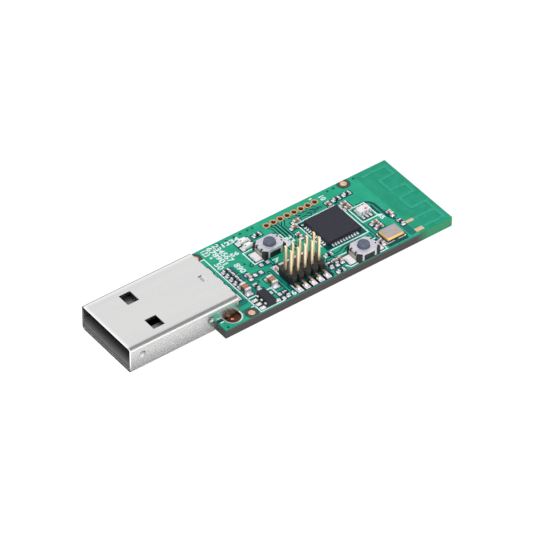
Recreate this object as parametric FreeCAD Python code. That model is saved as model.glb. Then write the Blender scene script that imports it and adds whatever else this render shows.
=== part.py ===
import FreeCAD, Part
import math
import os

# Bare-board radio stick: a metal plug shell on a green circuit board with the parts soldered on top.
# Millimetres. +X runs from the plug's mouth to the antenna end, +Y across to the far edge, +Z up.
# The origin is under the middle of the stick, on the flat face that it rests on.

# Plug shell, stamped and folded from sheet
shell_width = 12.0
shell_height = 4.5
shell_length = 19.0
shell_wall = 0.3
shell_bend_radius = 0.6
window_length = 1.95
window_width = 2.3
window_from_mouth = 5.25
window_spacing = 6.3
seam_width = 0.08
seam_depth = 0.1
dimple_radius = 0.6
dimple_depth = 0.15
dimple_height = 2.65
dimple_from_mouth = 2.05
dimple_from_board = 1.0
lance_length = 0.7
lance_width = 1.2
lance_drop = 0.25
lance_slot = 0.1
lance_from_end = 2.1
lance_from_middle = 0.28
leg_width = 1.6
leg_thickness_in_hole = 0.3
leg_lift = 0.2

# Plug insulator and contacts
insulator_clearance = 0.05
tongue_setback = 0.12
tongue_thickness = 1.92
tongue_length = 11.5
tongue_chamfer = 0.15
insulator_rear_setback = 1.4
contact_width = 1.0
contact_thickness = 0.25
contact_proud = 0.06
contact_setback = 1.3
contact_inner_spacing = 2.0
contact_outer_spacing = 7.0
contact_foot_past_shell = 1.9
contact_bend_length = 0.5
contact_bend_start = 0.15

# Circuit board
board_thickness = 1.6
board_width = 16.25
board_under_shell = 3.85
board_gap = 0.05
board_corner_radius = 0.15
plating = 0.04

# Plated holes
shield_hole_radius = 1.3
shield_ring_radius = 1.55
shield_hole_from_front = 2.55
shield_hole_outboard = 0.3
io_hole_count = 8
io_hole_pitch = 1.27
io_hole_radius = 0.34
io_ring_radius = 0.58
io_barrel_wall = 0.06
io_hole_sides = 12
io_row_from_far_edge = 1.45
io_row_middle = 22.8

# Printed antenna
antenna_zone_gap = 0.45
antenna_zone_length = 6.05
antenna_track_width = 0.5
antenna_track_height = 0.05
antenna_end_margin = 0.9
antenna_meander_depth = 2.7
antenna_short_step = 2.1
antenna_long_step = 2.8
antenna_far_margin = 0.8
antenna_tail_from_zone = 0.7
feed_pad_length = 1.4
feed_pad_width = 0.55
ground_pad_width = 0.75
ground_pad_from_near_edge = 0.875
ground_leg_offset = 0.12
pad_row_spacing = 2.3
pad_from_zone_start = 0.5

# Radio chip, a flat leadless package
chip_size = 6.0
chip_height = 0.9
chip_standoff = 0.05
chip_land_count = 10
chip_land_pitch = 0.5
chip_land_width = 0.25
chip_land_length = 0.4
chip_land_height = 0.25
chip_land_proud = 0.03
chip_pad_size = 4.6
chip_mark_radius = 0.2
chip_mark_depth = 0.04
chip_mark_inset = 0.95
chip_place = (25.8, 0.5)

# Antenna matching balun, a small ceramic block
balun_length = 2.0
balun_width = 1.25
balun_height = 0.95
balun_terminal_width = 0.35
balun_terminal_pitch = 0.65
balun_terminal_wrap = 0.18
balun_terminal_plate = 0.04
balun_place = (31.55, 0.52)

# Voltage regulator, a moulded package with five leads
regulator_length = 2.9
regulator_width = 1.6
regulator_height = 1.12
regulator_standoff = 0.1
regulator_draft = 0.1
regulator_lead_span = 2.8
regulator_lead_pitch = 0.95
regulator_lead_width = 0.4
regulator_lead_thickness = 0.15
regulator_foot_length = 0.45
regulator_from_front = 8.5
regulator_from_near_edge = 1.675

# Crystal in a ceramic case with a metal lid
crystal_length = 3.2
crystal_width = 2.5
crystal_corner_radius = 0.15
crystal_base_height = 0.32
crystal_ring_inset = 0.05
crystal_ring_width = 0.4
crystal_ring_height = 0.4
crystal_ring_slope = 0.15
crystal_lid_thickness = 0.06
crystal_from_front = 31.85
crystal_from_near_edge = 2.325

# Pin header, two rows of five
header_pitch = 1.27
header_columns = 5
header_body_width = 3.4
header_body_height = 1.5
header_standoff = 0.12
header_notch_half_width = 0.25
header_notch_depth = 0.5
header_slot_clearance = 0.05
pin_size = 0.4
pin_height = 5.95
pin_tip_chamfer = 0.12
pin_bend = 0.3
pin_foot_reach = 2.75
header_from_front = 16.35
header_from_near_edge = 3.575

# Push buttons, two alike
button_length = 3.9
button_width = 3.0
button_housing_height = 1.38
button_cover_thickness = 0.12
button_cover_corner = 0.65
button_flange_drop = 0.35
button_side_flange_drop = 0.35
button_side_slot_width = 0.35
button_side_slot_depth = 0.3
button_side_slot_spacing = 1.1
button_leg_width = 0.35
button_leg_lift = 0.1
button_cavity_radius = 1.4
button_cavity_floor = 0.6
button_hole_radius = 0.97
plunger_radius = 0.9
plunger_flange_radius = 1.3
plunger_flange_thickness = 0.3
plunger_flange_gap = 0.03
plunger_height = 2.08
plunger_edge_chamfer = 0.15
dome_radius = 1.2
dome_crown_radius = 0.65
dome_sheet = 0.06
dome_gap = 0.02
button_tab_width = 1.7
button_tab_reach = 2.85
button_tab_thickness = 0.15
button_tab_rise = 0.95
button_1_from_front = 26.1
button_1_from_near_edge = 1.55
button_2_from_front = 15.45
button_2_from_far_edge = 6.05

# Indicator lamps, two alike
lamp_length = 1.6
lamp_width = 0.8
lamp_base_height = 0.25
lamp_lens_length = 1.15
lamp_lens_height = 0.35
lamp_lens_draft = 0.06
lamp_terminal_length = 0.2
lamp_terminal_plate = 0.03
lamp_from_front = 13.35
lamps_from_far_edge = [2.325, 3.575]

# Large ceramic capacitors, two alike, standing across the board
large_capacitor_length = 1.7
large_capacitor_width = 0.95
large_capacitor_height = 0.88
large_capacitor_end = 0.35
large_capacitor_places = [(7.35, -2.9), (11.45, -3.89)]

# Small capacitors and resistors
small_length = 1.0
small_width = 0.5
small_capacitor_height = 0.5
small_resistor_height = 0.35
small_end_length = 0.25
end_plate = 0.03
# Places are (along from the board's front edge, across from the centre line)
capacitors_along = [(21.35, 3.85), (22.35, 4.75), (30.3, 3.65), (30.3, 2.65), (31.45, -2.35), (31.45, -3.4)]
capacitors_across = [(9.45, -1.0), (20.85, 1.9), (28.5, 4.85), (34.65, -2.05)]
resistors_along = [(7.5, 2.0), (7.5, 1.02), (7.5, 0.04), (7.5, -0.94), (30.15, 5.25), (32.1, 5.3), (21.7, -3.9)]
resistors_across = [(9.2, -3.3), (34.75, -4.5)]
# Places are (along from the board's front edge, in from the board's near edge)
edge_capacitors_across = [(21.45, 2.175), (22.4, 2.225), (29.65, 1.725)]
edge_resistors_along = [(21.1, 0.375)]
edge_resistors_across = [(20.45, 2.175), (11.7, 1.075)]
# Places are (along from the board's front edge, in from the board's far edge)
far_resistors_along = [(15.9, 2.345)]

# Worked-out levels and places
last_column = resistors_across[-1][0]
antenna_zone_start = last_column + small_width / 2 + antenna_zone_gap
board_length = antenna_zone_start + antenna_zone_length
board_inset = shell_length - board_under_shell
total_length = board_inset + board_length
mouth_x = -total_length / 2
board_front_x = mouth_x + board_inset
board_end_x = board_front_x + board_length
shell_end_x = mouth_x + shell_length
near_edge_y = -board_width / 2
far_edge_y = board_width / 2
board_top = board_thickness
tongue_top = shell_wall + tongue_thickness
shield_hole_x = board_front_x + shield_hole_from_front
shield_hole_y = shell_width / 2 + shield_hole_outboard
insulator_rear_x = shell_end_x - insulator_rear_setback
contact_rows = [-contact_outer_spacing / 2, -contact_inner_spacing / 2,
                contact_inner_spacing / 2, contact_outer_spacing / 2]


def vector(x, y, z):
    return FreeCAD.Vector(x, y, z)


def box(x, y, z):
    """Block between the low and high values given for each axis."""
    return Part.makeBox(x[1] - x[0], y[1] - y[0], z[1] - z[0], vector(x[0], y[0], z[0]))


def block(length, width, z):
    """Block centred on the Z axis, between two heights."""
    return box((-length / 2, length / 2), (-width / 2, width / 2), z)


def disc(radius, z, x=0, y=0):
    return Part.makeCylinder(radius, z[1] - z[0], vector(x, y, z[0]))


def rod(radius, z, spot, sides=None):
    """Upright bar, round, or with flat sides whose corners are on the radius."""
    x, y = spot
    if not sides:
        return disc(radius, z, x, y)
    turns = [2 * math.pi * (side + 0.5) / sides for side in range(sides)]
    corners = [vector(x + radius * math.cos(turn), y + radius * math.sin(turn), z[0]) for turn in turns]
    return prism(corners, vector(0, 0, z[1] - z[0]))


def prism(corners, push):
    """Flat outline through the corners, pushed along a vector."""
    face = Part.Face(Part.makePolygon(corners + [corners[0]]))
    return face.extrude(push)


def side_profile(outline, width, middle=0):
    """Outline of (x, z) points, pushed across the stick by a width."""
    corners = [vector(x, middle - width / 2, z) for x, z in outline]
    return prism(corners, vector(0, width, 0))


def drafted(length, width, z, draft):
    """Block that gets smaller towards its top by a draft on every side."""
    outlines = []
    for inset, height in ((0, z[0]), (draft, z[1])):
        x = length / 2 - inset
        y = width / 2 - inset
        corners = [vector(-x, -y, height), vector(x, -y, height), vector(x, y, height), vector(-x, y, height)]
        outlines.append(Part.makePolygon(corners + [corners[0]]))
    return Part.makeLoft(outlines, True, True)


def edges_along(shape, axis, test=lambda middle: True):
    """Straight edges that run along an axis, where their middle point passes a test."""
    found = []
    for edge in shape.Edges:
        if len(edge.Vertexes) < 2:
            continue
        run = edge.Vertexes[1].Point - edge.Vertexes[0].Point
        straight = abs(run.dot(axis)) > 0.999 * edge.Length
        if straight and test(edge.CenterOfMass):
            found.append(edge)
    return found


def place(shape, x, y, z=None, turned=False):
    """Copy moved from the origin to the board's top, turned a quarter where it lies across."""
    moved = shape.copy()
    if turned:
        moved.rotate(vector(0, 0, 0), vector(0, 0, 1), 90)
    moved.translate(vector(x, y, board_top if z is None else z))
    return moved


def on_board(spot):
    """Position of an (along, across) place counted from the front edge and the centre line."""
    return board_front_x + spot[0], spot[1]


def from_near_edge(spot):
    """Position of an (along, in) place counted from the front edge and the near edge."""
    return board_front_x + spot[0], near_edge_y + spot[1]


def from_far_edge(spot):
    """Position of an (along, in) place counted from the front edge and the far edge."""
    return board_front_x + spot[0], far_edge_y - spot[1]


def export(node, *solids):
    shape = solids[0] if len(solids) == 1 else Part.makeCompound(list(solids))
    shape.exportStep("parts/" + node + ".step")


# Plug shell

def folded_tube(width, height, radius, x, floor):
    """Square tube along X with bent long edges."""
    tube = box(x, (-width / 2, width / 2), (floor, floor + height))
    return tube.makeFillet(radius, edges_along(tube, vector(1, 0, 0)))


def side_dimple(x, side):
    """Ball that presses a dimple into one side wall."""
    ball_radius = (dimple_radius ** 2 + dimple_depth ** 2) / (2 * dimple_depth)
    return Part.makeSphere(ball_radius, vector(x, side * (shell_width / 2 + ball_radius - dimple_depth), dimple_height))


def shell_leg(side):
    """Tapered solder leg that goes down into a plated hole."""
    half = leg_width / 2
    top = board_top + board_gap
    outline = [(shield_hole_x - half, top), (shield_hole_x - half, leg_lift + half / 2),
               (shield_hole_x - half / 2, leg_lift), (shield_hole_x + half / 2, leg_lift),
               (shield_hole_x + half, leg_lift + half / 2), (shield_hole_x + half, top)]
    middle = side * (shell_width / 2 - leg_thickness_in_hole / 2)
    return side_profile(outline, leg_thickness_in_hole, middle)


def make_shell():
    reach = (mouth_x, shell_end_x)
    inner_width = shell_width - 2 * shell_wall
    inner_height = shell_height - 2 * shell_wall
    outer = folded_tube(shell_width, shell_height, shell_bend_radius, reach, 0)
    hollow = folded_tube(inner_width, inner_height, shell_bend_radius - shell_wall,
                         (mouth_x - 1, shell_end_x + 1), shell_wall)
    shell = outer.cut(hollow)
    for side in (-1, 1):
        for x in (mouth_x + dimple_from_mouth, board_front_x - dimple_from_board):
            ball = side_dimple(x, side)
            bulge = ball.copy()
            bulge.translate(vector(0, -side * shell_wall, 0))
            shell = shell.fuse(bulge.common(hollow)).cut(ball)
    shell = shell.cut(box((board_front_x - board_gap, shell_end_x + 1), (-shell_width, shell_width),
                          (-1, board_top + board_gap)))
    for side in (-1, 1):
        shell = shell.fuse(shell_leg(side))
        window = box((mouth_x + window_from_mouth, mouth_x + window_from_mouth + window_length),
                     (side * window_spacing / 2 - window_width / 2, side * window_spacing / 2 + window_width / 2),
                     (-1, shell_height + 1))
        shell = shell.cut(window)
    shell = shell.cut(box((mouth_x - 1, board_front_x), (-seam_width / 2, seam_width / 2), (-1, seam_depth)))
    return lanced(shell).removeSplitter()


def lance_reach():
    front = shell_end_x - lance_from_end
    return front, front + lance_length


def lanced(shell):
    """Cuts the roof open round a small tab and bends the tab down to lock the insulator."""
    front, root = lance_reach()
    roof = shell_height - shell_wall
    reach = lance_width / 2 + lance_slot
    shell = shell.cut(box((front - lance_slot, root), (lance_from_middle - reach, lance_from_middle + reach),
                          (roof - 1, shell_height + 1)))
    outline = [(root, shell_height), (front, shell_height - lance_drop), (front, roof - lance_drop), (root, roof)]
    return shell.fuse(side_profile(outline, lance_width, lance_from_middle))


# Plug insulator and contacts

def make_contacts():
    """Four flat springs on the tongue whose tails step down to the board."""
    low = tongue_top + contact_proud - contact_thickness
    front = mouth_x + contact_setback
    bend = insulator_rear_x + contact_bend_start
    foot = bend + contact_bend_length
    end = shell_end_x + contact_foot_past_shell
    outline = [(front, low), (bend, low), (foot, board_top), (end, board_top),
               (end, board_top + contact_thickness), (foot, board_top + contact_thickness),
               (bend, low + contact_thickness), (front + contact_thickness, low + contact_thickness)]
    return [side_profile(outline, contact_width, row) for row in contact_rows]


def make_insulator(contacts):
    """Moulded tongue and block, with a shelf at the back that stands over the board."""
    roof = shell_height - shell_wall - insulator_clearance
    front = mouth_x + tongue_setback
    block_x = front + tongue_length
    step_x = board_front_x - board_gap
    shelf = board_top + board_gap
    outline = [(front, shell_wall), (front, tongue_top - tongue_chamfer), (front + tongue_chamfer, tongue_top),
               (block_x, tongue_top), (block_x, roof), (insulator_rear_x, roof), (insulator_rear_x, shelf),
               (step_x, shelf), (step_x, shell_wall)]
    width = shell_width - 2 * shell_wall - 2 * insulator_clearance
    insulator = side_profile(outline, width)
    bend = shell_bend_radius - shell_wall
    outer_edges = edges_along(insulator, vector(1, 0, 0),
                              lambda middle: abs(middle.z - shell_wall) < 0.001 or abs(middle.z - roof) < 0.001)
    insulator = insulator.makeFillet(bend, outer_edges)
    relief = dimple_depth + insulator_clearance
    room = 1.5 * dimple_radius
    front_dimple_x = mouth_x + dimple_from_mouth
    rear_dimple_x = board_front_x - dimple_from_board
    for side in (-1, 1):
        y = sorted((side * (width / 2 - relief), side * width))
        for x in ((front_dimple_x - room, front_dimple_x + room), (rear_dimple_x - room, step_x + 1)):
            insulator = insulator.cut(box(x, y, (dimple_height - room, dimple_height + room)))
    lance_front, lance_root = lance_reach()
    pocket = lance_width / 2 + insulator_clearance
    insulator = insulator.cut(box((lance_front - insulator_clearance, lance_root + insulator_clearance),
                                  (lance_from_middle - pocket, lance_from_middle + pocket),
                                  (roof - lance_drop - insulator_clearance, shell_height)))
    return insulator.cut(contacts)


# Circuit board with its plated holes

def io_hole_spots():
    first = board_front_x + io_row_middle - (io_hole_count - 1) * io_hole_pitch / 2
    row_y = far_edge_y - io_row_from_far_edge
    return [(first + index * io_hole_pitch, row_y) for index in range(io_hole_count)]


def shield_hole_spots():
    return [(shield_hole_x, side * shield_hole_y) for side in (-1, 1)]


def hole_seat(spot, hole_radius, ring_radius, wall, sides, top=board_top):
    """Room that one plated hole takes in the board: its barrel and the ring in the underside."""
    barrel = rod(hole_radius + wall, (0, top), spot, sides)
    return barrel.fuse(rod(ring_radius, (0, plating), spot, sides))


def plated_hole(spot, hole_radius, ring_radius, wall, sides):
    """Barrel with a raised ring on top and a ring set flush into the underside."""
    top = board_top + plating
    barrel = hole_seat(spot, hole_radius, ring_radius, wall, sides, top)
    barrel = barrel.fuse(rod(ring_radius, (board_top, top), spot, sides))
    return barrel.cut(rod(hole_radius, (-1, top + 1), spot, sides)).removeSplitter()


io_hole_sizes = (io_hole_radius, io_ring_radius, io_barrel_wall, io_hole_sides)
shield_hole_sizes = (shield_hole_radius, shield_ring_radius, plating, None)


def make_board():
    board = box((board_front_x, board_end_x), (near_edge_y, far_edge_y), (0, board_top))
    end_corners = edges_along(board, vector(0, 0, 1), lambda middle: middle.x > board_front_x + 1)
    board = board.makeFillet(board_corner_radius, end_corners)
    seats = [hole_seat(spot, *io_hole_sizes) for spot in io_hole_spots()]
    seats += [hole_seat(spot, *shield_hole_sizes) for spot in shield_hole_spots()]
    return board.cut(seats)


# Printed antenna and its two pads

def make_antenna():
    """Track that folds back and forth from the feed pad to the far edge, one piece with its ground leg."""
    zone_x = board_front_x + antenna_zone_start
    pad_x = zone_x + pad_from_zone_start
    right = board_end_x - antenna_end_margin
    left = right - antenna_meander_depth
    half = antenna_track_width / 2
    level = (board_top, board_top + antenna_track_height)
    ground_y = near_edge_y + ground_pad_from_near_edge
    rows = [ground_y + pad_row_spacing]
    steps = [antenna_short_step, antenna_long_step]
    while rows[-1] + steps[(len(rows) - 1) % 2] < far_edge_y - antenna_far_margin:
        rows.append(rows[-1] + steps[(len(rows) - 1) % 2])
    pad_end = pad_x + feed_pad_length / 2
    leg_y = ground_y + ground_leg_offset
    track = box((pad_end, right + half), (leg_y - half, leg_y + half), level)
    track = track.fuse(box((pad_end, right + half), (rows[0] - half, rows[0] + half), level))
    track = track.fuse(box((right - half, right + half), (leg_y - half, rows[0] + half), level))
    for index in range(1, len(rows)):
        column = right if index % 2 else left
        start = zone_x + antenna_tail_from_zone if index == len(rows) - 1 else left - half
        track = track.fuse(box((column - half, column + half), (rows[index - 1] - half, rows[index] + half), level))
        track = track.fuse(box((start, right + half), (rows[index] - half, rows[index] + half), level))
    pads = []
    for y, width in ((ground_y, ground_pad_width), (rows[0], feed_pad_width)):
        pads.append(box((pad_x - feed_pad_length / 2, pad_end), (y - width / 2, y + width / 2),
                        (board_top, board_top + plating)))
    return track.removeSplitter(), pads


# Radio chip

def make_chip():
    """Package block whose lands sit flush in its underside and show at its sides."""
    height = (chip_standoff, chip_height)
    package = block(chip_size, chip_size, height)
    land = box((chip_size / 2 - chip_land_length, chip_size / 2 + chip_land_proud),
               (-chip_land_width / 2, chip_land_width / 2), (0, chip_land_height))
    lands = [block(chip_pad_size, chip_pad_size, (0, chip_standoff))]
    for quarter in range(4):
        for index in range(chip_land_count):
            copy = land.copy()
            copy.translate(vector(0, (index - (chip_land_count - 1) / 2) * chip_land_pitch, 0))
            copy.rotate(vector(0, 0, 0), vector(0, 0, 1), 90 * quarter)
            lands.append(copy)
    corner = chip_size / 2 - chip_mark_inset
    mark = disc(chip_mark_radius, (chip_height - chip_mark_depth, chip_height + 1), -corner, corner)
    return package.cut(lands + [mark]), lands


# Chips with wrapped ends: capacitors, resistors, lamps and the balun

def end_wrap(body, length, width, height, reach):
    """Two caps that wrap the ends of a body, out to the part's full size."""
    caps = []
    for side in (-1, 1):
        x = sorted((side * (length / 2 - reach), side * length / 2))
        caps.append(box(x, (-width / 2, width / 2), (0, height)).cut(body))
    return caps


def chip_part(length, width, height, reach, plate):
    """Ceramic block and the two caps that its ends sit in."""
    body = block(length - 2 * plate, width - 2 * plate, (plate, height - plate))
    return body, end_wrap(body, length, width, height, reach)


def small_chip_part(height):
    """Ceramic block between two plain end caps, which stand a plate's thickness proud of it."""
    middle = small_length - 2 * small_end_length
    body = block(middle, small_width - 2 * end_plate, (end_plate, height - end_plate))
    cap_reach = small_length / 2 - small_end_length
    caps = [box(sorted((side * cap_reach, side * small_length / 2)), (-small_width / 2, small_width / 2),
                (0, height)) for side in (-1, 1)]
    return body, caps


def spread(body, caps, along, across):
    """Copies of one chip part at every spot, as bodies and as end caps."""
    spots = [(spot, False) for spot in along] + [(spot, True) for spot in across]
    bodies = [place(body, x, y, turned=turned) for (x, y), turned in spots]
    ends = [place(cap, x, y, turned=turned) for (x, y), turned in spots for cap in caps]
    return bodies, ends


def make_balun():
    body = block(balun_length, balun_width, (balun_terminal_plate, balun_height - balun_terminal_plate))
    terminals = []
    for side in (-1, 1):
        y = sorted((side * (balun_width / 2 - balun_terminal_wrap), side * (balun_width / 2 + balun_terminal_plate)))
        for index in (-1, 0, 1):
            x = index * balun_terminal_pitch
            strip = box((x - balun_terminal_width / 2, x + balun_terminal_width / 2), y, (0, balun_height))
            terminals.append(strip.cut(body))
    return body, terminals


def make_lamp():
    """White base with plated ends and a clear moulded lens on top."""
    plate = lamp_terminal_plate
    base = block(lamp_length - 2 * plate, lamp_width, (plate, lamp_base_height))
    terminals = end_wrap(base, lamp_length, lamp_width, lamp_base_height + plate, lamp_terminal_length)
    lens = drafted(lamp_lens_length, lamp_width, (lamp_base_height, lamp_base_height + lamp_lens_height),
                   lamp_lens_draft)
    return base, lens, terminals


# Regulator

def make_regulator():
    """Moulded body with draft above and below the leads, and five gull-wing leads."""
    middle = (regulator_standoff + regulator_height) / 2
    lower = drafted(regulator_width, regulator_length, (0, middle - regulator_standoff), regulator_draft)
    lower.rotate(vector(0, 0, 0), vector(1, 0, 0), 180)
    lower.translate(vector(0, 0, middle))
    upper = drafted(regulator_width, regulator_length, (middle, regulator_height), regulator_draft)
    body = lower.fuse(upper)
    tip = regulator_lead_span / 2
    heel = tip - regulator_foot_length
    root = regulator_width / 2 - regulator_draft
    thick = regulator_lead_thickness
    high = middle + thick / 2
    knee = regulator_width / 2 + thick
    outline = [(root, high), (knee, high), (heel + thick, thick), (tip, thick), (tip, 0), (heel, 0),
               (knee - thick, high - thick), (root, high - thick)]
    leads = []
    for side, rows in ((-1, (-1, 0, 1)), (1, (-1, 1))):
        for row in rows:
            lead = side_profile([(side * x, z) for x, z in outline], regulator_lead_width, row * regulator_lead_pitch)
            leads.append(lead)
    return body.cut(leads), leads


# Crystal

def rounded_plate(length, width, z, radius):
    plate = block(length, width, z)
    return plate.makeFillet(radius, edges_along(plate, vector(0, 0, 1)))


def make_crystal():
    """Ceramic base, sloping metal seal ring round the cavity, and a flat lid."""
    ring_top = crystal_base_height + crystal_ring_height
    base = rounded_plate(crystal_length, crystal_width, (0, crystal_base_height), crystal_corner_radius)
    ring_length = crystal_length - 2 * crystal_ring_inset
    ring_width = crystal_width - 2 * crystal_ring_inset
    ring = drafted(ring_length, ring_width, (crystal_base_height, ring_top), crystal_ring_slope)
    ring = ring.cut(block(ring_length - 2 * crystal_ring_width, ring_width - 2 * crystal_ring_width,
                          (crystal_base_height - 1, ring_top + 1)))
    lid = rounded_plate(ring_length - 2 * crystal_ring_slope, ring_width - 2 * crystal_ring_slope,
                        (ring_top, ring_top + crystal_lid_thickness), crystal_corner_radius)
    return base, ring, lid


# Pin header

def header_pin():
    """Square post that bends outwards into a flat foot on the board, foot towards -Y."""
    half = pin_size / 2
    front = -header_pitch / 2 - half
    back = front + pin_size
    foot = -pin_foot_reach
    outline = [(foot, 0), (back - pin_bend, 0), (back, pin_bend), (back, pin_height), (front, pin_height),
               (front, pin_size), (foot, pin_size)]
    corners = [vector(-half, y, z) for y, z in outline]
    pin = prism(corners, vector(pin_size, 0, 0))
    top_edges = [edge for edge in pin.Edges if abs(edge.BoundBox.ZMin - pin_height) < 0.001]
    return pin.makeChamfer(pin_tip_chamfer, top_edges)


def make_header():
    """Moulded strip of cells parted by notches, and ten pins standing in it."""
    half_width = header_body_width / 2
    start = -header_columns * header_pitch / 2
    half_notch = header_notch_half_width
    near = []
    for cell in range(header_columns):
        left = start + cell * header_pitch
        near += [(left, -half_width + header_notch_depth), (left + half_notch, -half_width),
                 (left + header_pitch - half_notch, -half_width)]
    near.append((-start, -half_width + header_notch_depth))
    outline = near + [(-x, -y) for x, y in near]
    corners = [vector(x, y, header_standoff) for x, y in outline]
    body = prism(corners, vector(0, 0, header_body_height - header_standoff))
    pins = []
    slots = []
    slot_half = pin_size / 2 + header_slot_clearance
    for column in range(header_columns):
        x = start + (column + 0.5) * header_pitch
        for turn in (0, 180):
            pin = header_pin()
            pin.rotate(vector(0, 0, 0), vector(0, 0, 1), turn)
            pin.translate(vector(x, 0, 0))
            pins.append(pin)
        slots.append(box((x - slot_half, x + slot_half), (-half_width - 1, half_width + 1),
                         (-1, pin_size + header_slot_clearance)))
    return body.cut(slots + pins), pins


# Push button

def button_cover():
    """Stamped plate with cropped corners, folded down at all four sides."""
    top = button_housing_height + button_cover_thickness
    sheet = button_cover_thickness
    long_half = button_length / 2
    wide_half = button_width / 2
    crop = button_cover_corner
    outline = [(-long_half, -wide_half + crop), (-long_half + crop, -wide_half), (long_half - crop, -wide_half),
               (long_half, -wide_half + crop), (long_half, wide_half - crop), (long_half - crop, wide_half),
               (-long_half + crop, wide_half), (-long_half, wide_half - crop)]
    cover = prism([vector(x, y, button_housing_height) for x, y in outline], vector(0, 0, sheet))
    flange_low = button_housing_height - button_flange_drop
    side_low = button_housing_height - button_side_flange_drop
    for side in (-1, 1):
        y = sorted((side * (wide_half - sheet), side * wide_half))
        cover = cover.fuse(box((-long_half + crop, long_half - crop), y, (flange_low, top)))
        x = sorted((side * (long_half - sheet), side * long_half))
        cover = cover.fuse(box(x, (-wide_half + crop, wide_half - crop), (side_low, top)))
        leg_x = sorted((side * (long_half - crop - button_leg_width), side * (long_half - crop)))
        for leg_side in (-1, 1):
            leg_y = sorted((leg_side * (wide_half - sheet), leg_side * wide_half))
            cover = cover.fuse(box(leg_x, leg_y, (button_leg_lift, top)))
    cover = cover.cut(disc(button_hole_radius, (0, top + 1)))
    for row in (-1, 1):
        y = row * button_side_slot_spacing / 2
        for side in (-1, 1):
            x = sorted((side * (long_half - button_side_slot_depth), side * (long_half + 1)))
            cover = cover.cut(box(x, (y - button_side_slot_width / 2, y + button_side_slot_width / 2),
                                  (side_low - 1, top + 1)))
    return cover.removeSplitter()


def button_dome():
    """Thin coned snap disc with a flat crown, its rim on the cavity floor."""
    crown = plunger_rest_level() - dome_gap
    rise = crown - dome_sheet - button_cavity_floor
    outer = Part.makeCone(dome_radius + dome_sheet, dome_crown_radius, crown - button_cavity_floor,
                          vector(0, 0, button_cavity_floor))
    return outer.cut(Part.makeCone(dome_radius, dome_crown_radius - dome_sheet, rise,
                                   vector(0, 0, button_cavity_floor)))


def plunger_rest_level():
    return button_housing_height - plunger_flange_gap - plunger_flange_thickness


def button_plunger():
    """Round stem with a flange that is held under the cover."""
    low = plunger_rest_level()
    stem = disc(plunger_radius, (low, plunger_height))
    rim = [edge for edge in stem.Edges if abs(edge.BoundBox.ZMin - plunger_height) < 0.001]
    stem = stem.makeChamfer(plunger_edge_chamfer, rim)
    return stem.fuse(disc(plunger_flange_radius, (low, low + plunger_flange_thickness))).removeSplitter()


def button_terminals():
    """Two wide tabs, each with a foot on the board and a rise up the housing's end."""
    half = button_length / 2
    sheet = button_tab_thickness
    tabs = []
    for side in (-1, 1):
        outline = [(side * half, 0), (side * button_tab_reach, 0), (side * button_tab_reach, sheet),
                   (side * (half + sheet), sheet), (side * (half + sheet), button_tab_rise),
                   (side * half, button_tab_rise)]
        tabs.append(side_profile(outline, button_tab_width))
    return tabs


def export_button(name, x, y):
    cover = button_cover()
    housing = block(button_length, button_width, (0, button_housing_height))
    housing = housing.cut([cover, disc(button_cavity_radius, (button_cavity_floor, button_housing_height + 1))])
    export(name + "_housing", place(housing, x, y))
    export(name + "_cover", place(cover, x, y))
    export(name + "_dome", place(button_dome(), x, y))
    export(name + "_plunger", place(button_plunger(), x, y))
    export(name + "_terminals", *[place(tab, x, y) for tab in button_terminals()])


# Build and write every piece

os.makedirs("parts", exist_ok=True)

contacts = make_contacts()
export("plug_shell", make_shell())
export("plug_insulator", make_insulator(contacts))
for number, contact in enumerate(contacts, 1):
    export("plug_contact_" + str(number), contact)

export("circuit_board", make_board())
export("io_hole_plating", *[plated_hole(spot, *io_hole_sizes) for spot in io_hole_spots()])
export("shield_hole_plating", *[plated_hole(spot, *shield_hole_sizes) for spot in shield_hole_spots()])
antenna, antenna_pads = make_antenna()
export("antenna_track", antenna)
export("antenna_pads", *antenna_pads)

chip_package, chip_lands = make_chip()
chip_x, chip_y = on_board(chip_place)
export("radio_chip_package", place(chip_package, chip_x, chip_y))
export("radio_chip_lands", *[place(land, chip_x, chip_y) for land in chip_lands])

balun_body, balun_terminals = make_balun()
balun_x, balun_y = on_board(balun_place)
export("balun_body", place(balun_body, balun_x, balun_y))
export("balun_terminals", *[place(strip, balun_x, balun_y) for strip in balun_terminals])

regulator_body, regulator_leads = make_regulator()
regulator_x, regulator_y = from_near_edge((regulator_from_front, regulator_from_near_edge))
export("regulator_body", place(regulator_body, regulator_x, regulator_y))
export("regulator_leads", *[place(lead, regulator_x, regulator_y) for lead in regulator_leads])

crystal_x, crystal_y = from_near_edge((crystal_from_front, crystal_from_near_edge))
for name, piece in zip(("crystal_base", "crystal_seal_ring", "crystal_lid"), make_crystal()):
    export(name, place(piece, crystal_x, crystal_y))

header_x, header_y = from_near_edge((header_from_front, header_from_near_edge))
header_body, header_pins = make_header()
export("header_insulator", place(header_body, header_x, header_y))
for number, pin in enumerate(header_pins, 1):
    export("header_pin_" + str(number), place(pin, header_x, header_y))

export_button("button_1", *from_near_edge((button_1_from_front, button_1_from_near_edge)))
export_button("button_2", *from_far_edge((button_2_from_front, button_2_from_far_edge)))

lamp_base, lamp_lens, lamp_terminals = make_lamp()
for number, inset in enumerate(lamps_from_far_edge, 1):
    lamp_x, lamp_y = from_far_edge((lamp_from_front, inset))
    export("lamp_" + str(number) + "_base", place(lamp_base, lamp_x, lamp_y))
    export("lamp_" + str(number) + "_lens", place(lamp_lens, lamp_x, lamp_y))
    export("lamp_" + str(number) + "_terminals", *[place(wrap, lamp_x, lamp_y) for wrap in lamp_terminals])

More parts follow.
